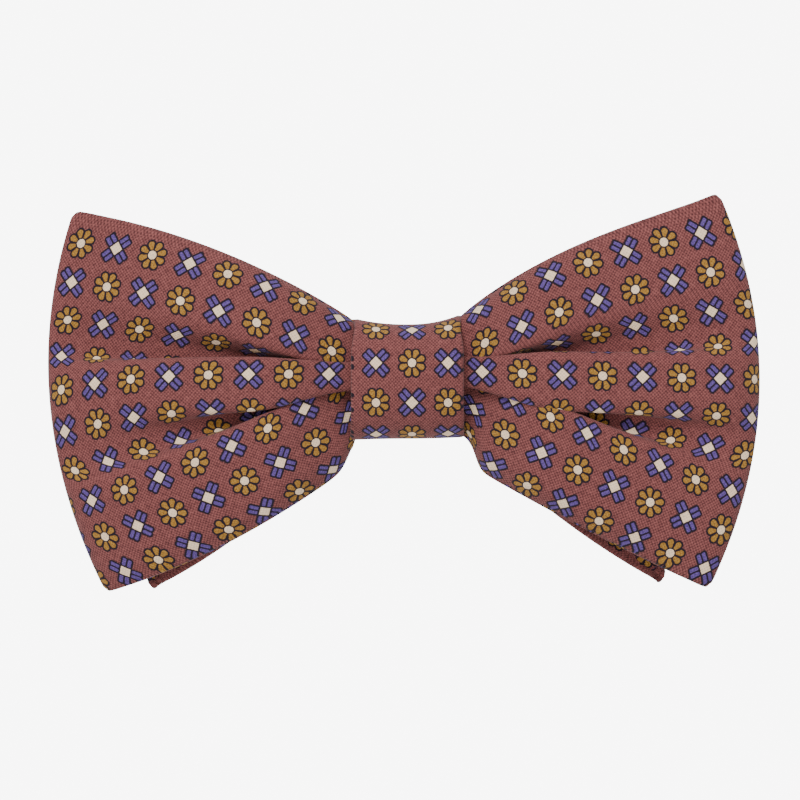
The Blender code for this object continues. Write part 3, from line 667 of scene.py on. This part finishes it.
# ---- the knot
def knot_path(share):
    """Once round the knot in (y, z) at one station across it, from the seam underneath."""
    aside = abs(share)
    right = int(share > 0)
    top = KNOT_TOP + KNOT_TOP_FLARE[right] * aside ** KNOT_TOP_POWER
    bottom = KNOT_BOTTOM + KNOT_BOTTOM_FLARE[right] * aside ** KNOT_BOTTOM_POWER
    front = KNOT_FRONT + KNOT_FRONT_FALL * aside ** KNOT_FRONT_POWER
    path = [(KNOT_SEAM_Y - SEAM_START[0], bottom + SEAM_START[1])]
    for turn in np.radians(np.linspace(-90.0, 90.0, KNOT_PILLOW_STEPS)):
        half = top if turn > 0 else -bottom
        out = abs(math.cos(turn)) ** (2 / KNOT_ROUNDNESS)
        up = abs(math.sin(turn)) ** (2 / KNOT_ROUNDNESS)
        path.append((front + KNOT_DEPTH * (1.0 - out), math.copysign(up * half, turn)))
    radius = KNOT_REAR_RADIUS
    bottom = bottom + KNOT_REAR_STEP
    for centre_z, start in ((top - radius, 0.0), (bottom + radius, 90.0)):
        for turn in np.radians(np.linspace(start, start + 90.0, KNOT_CORNER_STEPS)):
            path.append((radius * (math.sin(turn) - 1.0), centre_z + radius * math.cos(turn)))
    path.append((KNOT_SEAM_Y - SEAM_END[0], bottom - SEAM_END[1]))
    path = np.array(path)
    steps = np.linalg.norm(np.diff(path, axis=0), axis=1)
    length = np.concatenate([[0.0], np.cumsum(steps)])
    even = np.linspace(0.0, length[-1], KNOT_SAMPLES)
    resampled = np.stack([np.interp(even, length, path[:, axis]) for axis in range(2)], axis=1)
    pillow = slice(1, KNOT_PILLOW_STEPS + 1)
    middle = np.interp(0.0, path[pillow, 1], length[pillow])
    resampled[:, 1] += LAP_RISE * smooth(1.0 - even / LAP_RUN)
    return resampled, even - middle


def build_knot(material):
    points = []
    cloth = []
    for share in np.linspace(-1.0, 1.0, KNOT_STATIONS):
        path, along = knot_path(share)
        narrowing = KNOT_WAIST * smooth((path[:, 1] - KNOT_WAIST_FROM) / KNOT_WAIST_RUN)
        x = share * (KNOT_HALF_WIDTH - narrowing * (path[:, 0] < KNOT_WAIST_Y))
        points.append(np.stack([x, path[:, 0], path[:, 1]], axis=1))
        across = (x - KNOT_PRINT_X) * PITCH_ACROSS / KNOT_PRINT_PITCH
        cloth.append(np.stack([along - KNOT_PRINT_Z + PITCH_ALONG, across], axis=1))
    points = np.array(points).transpose(1, 0, 2)
    cloth = np.array(cloth).transpose(1, 0, 2)
    return thick_strip("knot_wrap_cloth", points, cloth, KNOT_THICKNESS, material)


def build_knot_stitches(material):
    """Slip stitches over the lap on the knot's underside."""
    runs = []
    bend = np.linspace(0.0, 1.0, SLIP_POINTS)
    level = KNOT_BOTTOM + SLIP_RISE - THREAD_RADIUS * SLIP_SINK
    height = level - SLIP_BULGE * np.sin(math.pi * bend) + SLIP_DIVE * (2 * bend - 1) ** 4
    depth = KNOT_SEAM_Y - SLIP_START + SLIP_LENGTH * bend
    for x in np.linspace(-SLIP_REACH, SLIP_REACH, SLIP_STITCHES):
        runs.append(np.stack([x + SLIP_SLANT * bend, depth, height], axis=1))
    return build_threads("knot_closing_thread", runs, THREAD_RADIUS, material)


# ---- the neckband
def band_point(run, outward=0.0):
    """A point of the closed band's right half, run from the knot's middle."""
    if run <= BAND_FLAT:
        return np.array([run, STRAP_Y - outward])
    if run <= FRONT_ARC_END:
        bend = (run - BAND_FLAT) / BAND_FRONT_RADIUS
        radius = BAND_FRONT_RADIUS + outward
        return np.array([BAND_FLAT + radius * math.sin(bend),
                         STRAP_Y + BAND_FRONT_RADIUS - radius * math.cos(bend)])
    if run <= SIDE_END:
        return np.array([BAND_REAR_RADIUS + outward,
                         STRAP_Y + BAND_FRONT_RADIUS + run - FRONT_ARC_END])
    bend = (run - SIDE_END) / BAND_REAR_RADIUS
    radius = BAND_REAR_RADIUS + outward
    return np.array([radius * math.cos(bend), REAR_CENTRE_Y + radius * math.sin(bend)])


def band_leg(start, end, outward):
    count = max(2, round(abs(end - start) / BAND_STEP))
    runs = np.linspace(start, end, count + 1)
    return [band_point(run, outward(run)) for run in runs]


def turn_round_bar(run, bar_outward, direction):
    """Half a turn inwards round a bar, bulging towards the closure (+1) or the knot (-1)."""
    centre = band_point(run, bar_outward)
    away = band_point(run, 1.0) - band_point(run, 0.0)
    along = np.array([-away[1], away[0]]) * direction
    turns = np.linspace(0.0, math.pi, TURN_POINTS)[1:-1]
    return [centre + TURN_RADIUS * (along * math.sin(turn) + away * math.cos(turn))
            for turn in turns]


def closing_offset(bar_run, direction):
    """Inner leg's offset: two turn radii in from the outer leg at the bar, then closing up."""
    def outward(run):
        closed = smooth((run - bar_run) * direction / TAPER_RUN)
        return mix(-2.0 * TURN_RADIUS, -LAYER_PITCH, closed)
    return outward


def opened(points, side, runs=None):
    """Swing points of one half open to the rest pose, easing in over the bend at the hinge."""
    hinge = band_point(HINGE_RUN) * np.array([side, 1.0])
    placed = []
    for index, point in enumerate(points):
        ease = 1.0
        if runs is not None:
            ease = smooth((runs[index] - HINGE_RUN + BEND_BEFORE) / (BEND_BEFORE + BEND_AFTER))
        angle = -side * REST_OPENING * ease
        arm = np.array([point[0] * side, point[1]]) - hinge
        placed.append(hinge + np.array([arm[0] * math.cos(angle) - arm[1] * math.sin(angle),
                                        arm[0] * math.sin(angle) + arm[1] * math.cos(angle)]))
    return np.array(placed)


def plan_frame(route):
    """Running length and unit normal at each point of a plan route."""
    steps = np.linalg.norm(np.diff(route, axis=0), axis=1)
    length = np.concatenate([[0.0], np.cumsum(steps)])
    tangent = np.gradient(route, axis=0)
    tangent = tangent / np.linalg.norm(tangent, axis=1, keepdims=True)
    return length, np.stack([tangent[:, 1], -tangent[:, 0]], axis=1)


def build_strap(name, route, start, material):
    """A flat sewn strap along a plan route; start is the cloth coordinate at its first point."""
    halves = []
    for level in STRAP_LEVELS:
        rim = max(0.0, (level - RIM_FROM) / RIM_RUN)
        groove = GROOVE_DEPTH * math.exp(-((level - GROOVE_LEVEL) / GROOVE_WIDTH) ** 2)
        halves.append(STRAP_HALF_THICKNESS * math.sqrt(max(RIM_FLOOR, 1.0 - rim ** 2)) - groove)
    levels = np.array([-level for level in STRAP_LEVELS] + [0.0] + list(STRAP_LEVELS[::-1]))
    halves = np.array(halves + [STRAP_HALF_THICKNESS] + halves[::-1])
    length, normal = plan_frame(route)
    faces = []
    for sign in (1.0, -1.0):
        plan = route[:, None, :] + sign * normal[:, None, :] * halves[None, :, None]
        height = np.broadcast_to(levels[None, :, None], plan.shape[:2] + (1,))
        faces.append(np.concatenate([plan, height], axis=2))
    cloth = np.stack(np.broadcast_arrays(length[:, None] + start, levels[None, :]), axis=2)
    return closed_strip(name, faces[0], faces[1], cloth, cloth, material)


def topstitch_runs(route, first, last):
    """Stitches along both edges of a strap and on both faces, between two running lengths."""
    length, normal = plan_frame(route)
    pitch = STITCH_LENGTH + STITCH_GAP
    count = int((last - first) / pitch)
    bend = np.linspace(0.0, 1.0, STITCH_POINTS)
    runs = []
    for index in range(count):
        spots = first + index * pitch + STITCH_LENGTH * bend
        lift = STRAP_HALF_THICKNESS - STITCH_SINK - STITCH_DIVE * (2 * bend - 1) ** 4
        plan = np.stack([np.interp(spots, length, route[:, axis]) for axis in range(2)], axis=1)
        out = np.stack([np.interp(spots, length, normal[:, axis]) for axis in range(2)], axis=1)
        for level in (STITCH_INSET - STRAP_HALF_HEIGHT, STRAP_HALF_HEIGHT - STITCH_INSET):
            for sign in (1.0, -1.0):
                spot = plan + sign * out * lift[:, None]
                height = np.full((len(bend), 1), level)
                runs.append(np.concatenate([spot, height], axis=1))
    return runs


def tack_run(run, outward, side):
    """A dense zigzag of thread across a strap's sewn-down end."""
    sideways = (-TACK_HALF_WIDTH, TACK_HALF_WIDTH)
    places = [band_point(run + sideways[step % 2], outward) for step in range(TACK_STITCHES + 1)]
    plan = opened(places, side)
    height = np.linspace(-TACK_HALF_HEIGHT, TACK_HALF_HEIGHT, TACK_STITCHES + 1)[:, None]
    return np.concatenate([plan, height], axis=1)


def build_half_strap(name, side, tail, cloth, thread):
    """From the knot's middle round to the closure's bar, back to the tail's end, with stitches."""
    runs = np.linspace(0.0, PIVOT_RUN, BAND_STATIONS)
    outer = opened([band_point(run) for run in runs], side, runs)
    turn = opened(turn_round_bar(PIVOT_RUN, -TURN_RADIUS, 1), side)
    inner = opened(band_leg(PIVOT_RUN, tail, closing_offset(PIVOT_RUN, -1)), side)
    route = np.concatenate([outer, turn, inner])
    strap = build_strap(name, route, 0.0, cloth)
    length = plan_frame(route)[0]
    joint = length[len(outer) + len(turn)]
    runs = topstitch_runs(route, STITCHES_FROM_KNOT, PIVOT_RUN - STITCHES_TO_BAR)
    runs += topstitch_runs(route, joint + STITCHES_FROM_JOINT, length[-1] - STITCHES_FROM_JOINT)
    stitching = build_threads(f"{name}_stitching", runs, THREAD_RADIUS, thread)
    for piece in (strap, stitching):
        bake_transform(piece)
    return strap, stitching


def build_slider_loop(cloth, thread):
    """The adjustable tail: from the hook's return leg to the loop round the slider's bar."""
    joint_run = PIVOT_RUN - TAIL_JOINT
    settled = closing_offset(PIVOT_RUN, -1)
    loop = closing_offset(SLIDER_RUN, 1)
    bar_outward = -LAYER_PITCH - TURN_RADIUS
    points = band_leg(joint_run, SLIDER_RUN, settled)
    points += turn_round_bar(SLIDER_RUN, bar_outward, -1)
    points += band_leg(SLIDER_RUN, SLIDER_RUN + END_TAIL, lambda run: loop(run) - LAYER_PITCH)
    route = opened(points, 1)
    strap = build_strap("slider_strap", route, PIVOT_RUN, cloth)
    length = plan_frame(route)[0]
    leg = joint_run - SLIDER_RUN
    runs = topstitch_runs(route, STITCHES_FROM_JOINT, leg - STITCHES_FROM_TURN)
    runs += topstitch_runs(route, length[-1] - END_TAIL + STITCHES_FROM_TURN,
                           length[-1] - STITCHES_FROM_JOINT)
    stitching = build_threads("slider_strap_stitching", runs, THREAD_RADIUS, thread)
    for piece in (strap, stitching):
        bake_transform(piece)
    return strap, stitching


def build_neckband(cloth, thread):
    left_tail = PIVOT_RUN - END_TAIL - TAPER_RUN / 2
    right_tail = PIVOT_RUN - TAIL_JOINT
    left, left_stitching = build_half_strap("neckband_left_strap", -1, left_tail, cloth, thread)
    right, right_stitching = build_half_strap("neckband_right_strap", 1, right_tail, cloth, thread)
    tail, tail_stitching = build_slider_loop(cloth, thread)
    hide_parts("neckband_left", "neckband_centre")
    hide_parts("neckband_right")
    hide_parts("slider_end_loop")
    depth = -LAYER_PITCH - STRAP_HALF_THICKNESS - TACK_PROUD
    left_run = tack_run(left_tail + TACK_FROM_END, depth, -1)
    right_run = tack_run(SLIDER_RUN + END_TAIL - TACK_FROM_END, depth - LAYER_PITCH, 1)
    left_tack = build_threads("left_end_tack", [left_run], TACK_THREAD_RADIUS, thread)
    right_tack = build_threads("slider_end_tack", [right_run], TACK_THREAD_RADIUS, thread)
    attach(left_tack, "left_band")
    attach(right_tack, "slider")
    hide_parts("left_end_bar_tack")
    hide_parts("slider_end_bar_tack")


# ---- materials
class Nodes:
    """A thin helper that builds math in a node tree."""

    def __init__(self, tree):
        self.tree = tree

    def node(self, kind, **settings):
        made = self.tree.nodes.new(kind)
        for key, value in settings.items():
            setattr(made, key, value)
        return made

    def plug(self, value, socket):
        if isinstance(value, bpy.types.NodeSocket):
            self.tree.links.new(value, socket)
        else:
            socket.default_value = value

    def math(self, operation, *values, clamp=False):
        made = self.node("ShaderNodeMath", operation=operation, use_clamp=clamp)
        for value, socket in zip(values, made.inputs):
            self.plug(value, socket)
        return made.outputs[0]

    def add(self, a, b):
        return self.math("ADD", a, b)

    def sub(self, a, b):
        return self.math("SUBTRACT", a, b)

    def mul(self, a, b):
        return self.math("MULTIPLY", a, b)

    def length(self, a, b):
        return self.math("SQRT", self.add(self.mul(a, a), self.mul(b, b)))

    def fade(self, value, low, high):
        """0 at the low value and below, 1 at the high one and beyond."""
        made = self.node("ShaderNodeMapRange", clamp=True)
        made.inputs["From Min"].default_value = low
        made.inputs["From Max"].default_value = high
        self.plug(value, made.inputs["Value"])
        return made.outputs["Result"]

    def inside(self, distance):
        """1 where the distance is negative, falling softly to 0."""
        return self.fade(distance, PRINT_SOFTNESS, -PRINT_SOFTNESS)

    def noise(self, place, scale, detail, **settings):
        made = self.node("ShaderNodeTexNoise", **settings)
        made.inputs["Scale"].default_value = scale
        made.inputs["Detail"].default_value = detail
        self.plug(place, made.inputs["Vector"])
        return made

    def bump(self, height, strength, distance):
        made = self.node("ShaderNodeBump")
        made.inputs["Strength"].default_value = strength
        made.inputs["Distance"].default_value = distance
        self.plug(height, made.inputs["Height"])
        return made.outputs[0]

    def mix_colour(self, factor, first, second, blend="MIX"):
        made = self.node("ShaderNodeMix", data_type="RGBA", blend_type=blend)
        self.plug(factor, made.inputs["Factor"])
        self.plug(first, made.inputs["A"])
        self.plug(second, made.inputs["B"])
        return made.outputs["Result"]


def new_material(name):
    """A material, the helper for its nodes, and the sockets of its shader."""
    made = bpy.data.materials.new(name)
    made.use_nodes = True
    return made, Nodes(made.node_tree), made.node_tree.nodes["Principled BSDF"].inputs


def printed_cotton(name):
    """Foulard print on plain weave: flowers and crossed bars on a checkerboard lattice."""
    made, n, shader = new_material(name)
    cloth = n.node("ShaderNodeUVMap", uv_map="cloth").outputs[0]
    wander = n.noise(cloth, WANDER_SCALE, 2.0, noise_dimensions="2D")
    split = n.node("ShaderNodeSeparateXYZ")
    n.plug(cloth, split.inputs[0])
    shift = n.node("ShaderNodeSeparateColor")
    n.plug(wander.outputs["Color"], shift.inputs[0])
    along = n.add(split.outputs[0], n.mul(n.sub(shift.outputs[0], 0.5), WANDER))
    across = n.add(split.outputs[1], n.mul(n.sub(shift.outputs[1], 0.5), WANDER))

    column = n.math("ROUND", n.mul(along, 1.0 / PITCH_ALONG))
    row = n.math("ROUND", n.mul(across, 1.0 / PITCH_ACROSS))
    x = n.sub(along, n.mul(column, PITCH_ALONG))
    y = n.sub(across, n.mul(row, PITCH_ACROSS))
    parity = n.math("FLOORED_MODULO", n.add(column, row), 2.0)

    petals, petal_rim, disc, disc_rim = flower(n, x, y)
    bars, bar_rim, square, square_rim = crossed_bars(n, x, y)

    speckle = n.noise(cloth, SPECKLE_SCALE, 3.0, noise_dimensions="2D")
    speckle.inputs["Roughness"].default_value = SPECKLE_ROUGHNESS
    mottling = n.fade(speckle.outputs["Fac"], *SPECKLE_RANGE)

    # The weave's painted shade, with the slubs' tone, picks shaded or lit ground.
    weave_shade_and_slubs, weave_height = weave(n, split.outputs[0], split.outputs[1])
    ground = n.mix_colour(weave_shade_and_slubs, GROUND_DARK, GROUND_LIGHT)
    ground = n.mix_colour(GROUND_EVENNESS, ground, GROUND)
    gold = n.mix_colour(mottling, GOLD, GOLD_LIGHT)
    blue = n.mix_colour(mottling, BLUE, BLUE_LIGHT)

    flower_colour = n.mix_colour(petal_rim, ground, OUTLINE)
    flower_colour = n.mix_colour(petals, flower_colour, gold)
    flower_colour = n.mix_colour(disc_rim, flower_colour, OUTLINE)
    flower_colour = n.mix_colour(disc, flower_colour, CREAM)
    bars_colour = n.mix_colour(bar_rim, ground, OUTLINE)
    bars_colour = n.mix_colour(bars, bars_colour, blue)
    bars_colour = n.mix_colour(square_rim, bars_colour, OUTLINE)
    bars_colour = n.mix_colour(square, bars_colour, CREAM)
    colour = n.mix_colour(parity, bars_colour, flower_colour)
    # The same painted shade and slub tone then multiply every colour.
    shade = n.node("ShaderNodeMapRange")
    shade.inputs["To Min"].default_value = WEAVE_SHADE_AND_SLUB_TONE[0]
    shade.inputs["To Max"].default_value = WEAVE_SHADE_AND_SLUB_TONE[1]
    n.plug(weave_shade_and_slubs, shade.inputs["Value"])
    tint = n.node("ShaderNodeCombineColor")
    for socket in tint.inputs:
        n.plug(shade.outputs["Result"], socket)
    colour = n.mix_colour(1.0, colour, tint.outputs[0], blend="MULTIPLY")

    n.plug(colour, shader["Base Color"])
    shader["Roughness"].default_value = COTTON_ROUGHNESS
    shader["Sheen Weight"].default_value = COTTON_SHEEN
    shader["Sheen Roughness"].default_value = COTTON_SHEEN_ROUGHNESS
    shader["Specular IOR Level"].default_value = COTTON_SPECULAR
    n.plug(n.bump(weave_height, *COTTON_BUMP), shader["Normal"])
    return made


def flower(n, x, y):
    """Rounded petals round a disc, with dark rims."""
    radius = n.length(x, y)
    angle = n.math("ARCTAN2", y, x)
    sector = 2.0 * math.pi / PETALS
    turned = n.sub(n.math("FLOORED_MODULO", angle, sector), sector / 2)
    out = n.mul(radius, n.math("COSINE", turned))
    sideways = n.mul(radius, n.math("SINE", turned))
    run = PETAL_FAR - PETAL_NEAR
    share = n.math("MULTIPLY", n.sub(out, PETAL_NEAR), 1.0 / run, clamp=True)
    centre = n.add(PETAL_NEAR, n.mul(share, run))
    narrow, wide = PETAL_HALF_WIDTHS
    width = n.add(narrow, n.mul(share, wide - narrow))
    distance = n.sub(n.length(n.sub(out, centre), sideways), width)
    petals = n.inside(distance)
    petal_rim = n.inside(n.sub(distance, MOTIF_RIM))
    disc = n.inside(n.sub(radius, DISC_RADIUS))
    disc_rim = n.inside(n.sub(radius, DISC_RIM_RADIUS))
    return petals, petal_rim, disc, disc_rim


def crossed_bars(n, x, y):
    """Four arms of two parallel bars, set diagonally round a square on its corner."""
    diagonal = math.sqrt(0.5)
    rising = n.math("ABSOLUTE", n.mul(n.add(x, y), diagonal))
    falling = n.math("ABSOLUTE", n.mul(n.sub(x, y), diagonal))
    out = n.math("MAXIMUM", rising, falling)
    sideways = n.math("MINIMUM", rising, falling)
    along = n.math("ABSOLUTE", n.sub(out, BAR_OUT))
    beyond = n.math("MAXIMUM", n.sub(along, BAR_HALF_LENGTH), 0.0)
    aside = n.math("ABSOLUTE", n.sub(sideways, BAR_ASIDE))
    aside = n.math("MAXIMUM", n.sub(aside, BAR_HALF_WIDTH), 0.0)
    distance = n.sub(n.length(beyond, aside), BAR_ROUNDING)
    bars = n.inside(distance)
    bar_rim = n.inside(n.sub(distance, MOTIF_RIM))
    square = n.inside(n.sub(out, SQUARE_REACH))
    square_rim = n.inside(n.sub(out, SQUARE_RIM_REACH))
    return bars, bar_rim, square, square_rim


def slubs(n, along, across, scales):
    """Streaks of thicker and thinner thread."""
    vector = n.node("ShaderNodeCombineXYZ")
    n.plug(n.mul(along, scales[0]), vector.inputs[0])
    n.plug(n.mul(across, scales[1]), vector.inputs[1])
    return n.noise(vector.outputs[0], 1.0, 2.0, noise_dimensions="2D").outputs["Fac"]


def weave(n, along, across):
    """Plain weave: threads pass over and under each other; the tone is painted shade, lighter on
    the crossings and darker in the hollows, plus slub tone varying from thread to thread.
    """
    u = n.mul(along, math.pi / WEAVE_PITCH)
    v = n.mul(across, math.pi / WEAVE_PITCH)
    over = n.mul(n.math("SINE", u), n.math("SINE", v))
    streaks = n.add(slubs(n, along, across, SLUB_SCALES),
                    slubs(n, along, across, SLUB_SCALES[::-1]))
    # Painted shade from the weave's height, plus the slubs' own tone.
    tone = n.add(n.mul(over, WEAVE_RELIEF_SHADE), n.mul(streaks, SLUB_TONE))
    tone = n.math("SUBTRACT", tone, TONE_FLOOR, clamp=True)
    return tone, n.add(over, n.mul(streaks, SLUB_HEIGHT))


def sewing_thread(name):
    """Matt twisted thread, a shade darker than the cloth, with painted shade in its twist's grooves.
    """
    made, n, shader = new_material(name)
    twist = n.node("ShaderNodeTexWave", bands_direction="DIAGONAL")
    twist.inputs["Scale"].default_value = TWIST_SCALE
    twist.inputs["Distortion"].default_value = TWIST_DISTORTION
    n.plug(n.node("ShaderNodeTexCoord").outputs["Object"], twist.inputs["Vector"])
    # The twist's bands: the bump's height, and painted shade darker in the grooves.
    strand = twist.outputs["Fac"]
    n.plug(n.mix_colour(strand, THREAD_SHADED, THREAD_LIT), shader["Base Color"])
    shader["Roughness"].default_value = THREAD_ROUGHNESS
    n.plug(n.bump(strand, *THREAD_BUMP), shader["Normal"])
    return made


def brushed_metal(name):
    """Finely grained metal, a little uneven in tone and gloss."""
    made, n, shader = new_material(name)
    shader["Metallic"].default_value = 1.0
    place = n.node("ShaderNodeTexCoord").outputs["Object"]
    grain = n.noise(place, METAL_GRAIN_SCALE, 4.0).outputs["Fac"]
    n.plug(n.mix_colour(grain, METAL_DARK, METAL_LIGHT), shader["Base Color"])
    n.plug(n.add(METAL_ROUGHNESS, n.mul(grain, METAL_ROUGHNESS_SPREAD)), shader["Roughness"])
    return made


# ---- light and camera
def add_backdrop():
    """Soft light from all round, and pure white where the camera sees past the object."""
    world = bpy.data.worlds.new("studio")
    bpy.context.scene.world = world
    world.use_nodes = True
    n = Nodes(world.node_tree)
    background = world.node_tree.nodes["Background"].inputs
    background["Color"].default_value = (1.0, 1.0, 1.0, 1.0)
    seen = n.node("ShaderNodeLightPath").outputs["Is Camera Ray"]
    n.plug(n.add(SOFT_LIGHT, n.mul(seen, WHITE_BACKDROP - SOFT_LIGHT)), background["Strength"])


def add_floor():
    mesh = bpy.data.meshes.new("floor")
    corners = [(x * FLOOR_HALF, y * FLOOR_HALF, 0)
               for x, y in ((-1, -1), (1, -1), (1, 1), (-1, 1))]
    mesh.from_pydata(corners, [], [(0, 1, 2, 3)])
    pale, _, shader = new_material("pale floor")
    shader["Base Color"].default_value = FLOOR_COLOUR
    shader["Roughness"].default_value = FLOOR_ROUGHNESS
    mesh.materials.append(pale)
    floor = add_object("floor", mesh)
    floor.location.z = FLOOR_LEVEL


def add_key_light():
    light = bpy.data.lights.new("key", "AREA")
    light.shape = "DISK"
    light.size = KEY_SIZE
    light.energy = KEY_POWER
    key = add_object("key", light)
    key.location = KEY_PLACE
    key.rotation_euler = (-Vector(KEY_PLACE)).to_track_quat("-Z", "Y").to_euler()


def add_camera():
    """Straight in front of the bow, far enough away to see it almost without perspective."""
    lens = bpy.data.cameras.new("camera")
    lens.sensor_width = SENSOR_WIDTH
    lens.lens = SENSOR_WIDTH * CAMERA_DISTANCE / FRAME_WIDTH
    lens.clip_start = CLIP_START
    camera = add_object("camera", lens)
    camera.location = Vector(FRAME_MIDDLE) - Vector((0.0, CAMERA_DISTANCE, 0.0))
    camera.rotation_euler = (math.radians(90.0), 0.0, 0.0)
    bpy.context.scene.camera = camera


def dress(names, material):
    """Give CAD nodes that stay in view their finish."""
    for name in names:
        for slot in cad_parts[name].material_slots:
            slot.material = material


def build_bows_and_knot(cloth, thread):
    front = build_bow("front_bow_strip", FRONT_LEFT, FRONT_RIGHT, FRONT_BOW, cloth)
    back = build_bow("back_bow_strip", BACK_LEFT, BACK_RIGHT, BACK_BOW, cloth)
    knot = build_knot(cloth)
    knot_thread = build_knot_stitches(thread)
    for piece in (front, back, knot, knot_thread):
        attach(piece, "bow")
    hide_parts("front_bow_cloth", "front_bow_lining", "front_bow_interlining")
    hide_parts("back_bow_cloth", "back_bow_lining", "back_bow_interlining")
    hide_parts("knot_wrap", "knot_interlining")
    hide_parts("knot_closing_stitches")


add_camera()
add_backdrop()
add_floor()
add_key_light()
cotton = printed_cotton("printed cotton")
thread = sewing_thread("sewing thread")
build_bows_and_knot(cotton, thread)
build_neckband(cotton, thread)
dress(("hook", "eye_plate", "length_slider"), brushed_metal("nickel-plated steel"))
dress(("waist_binding_thread",), thread)
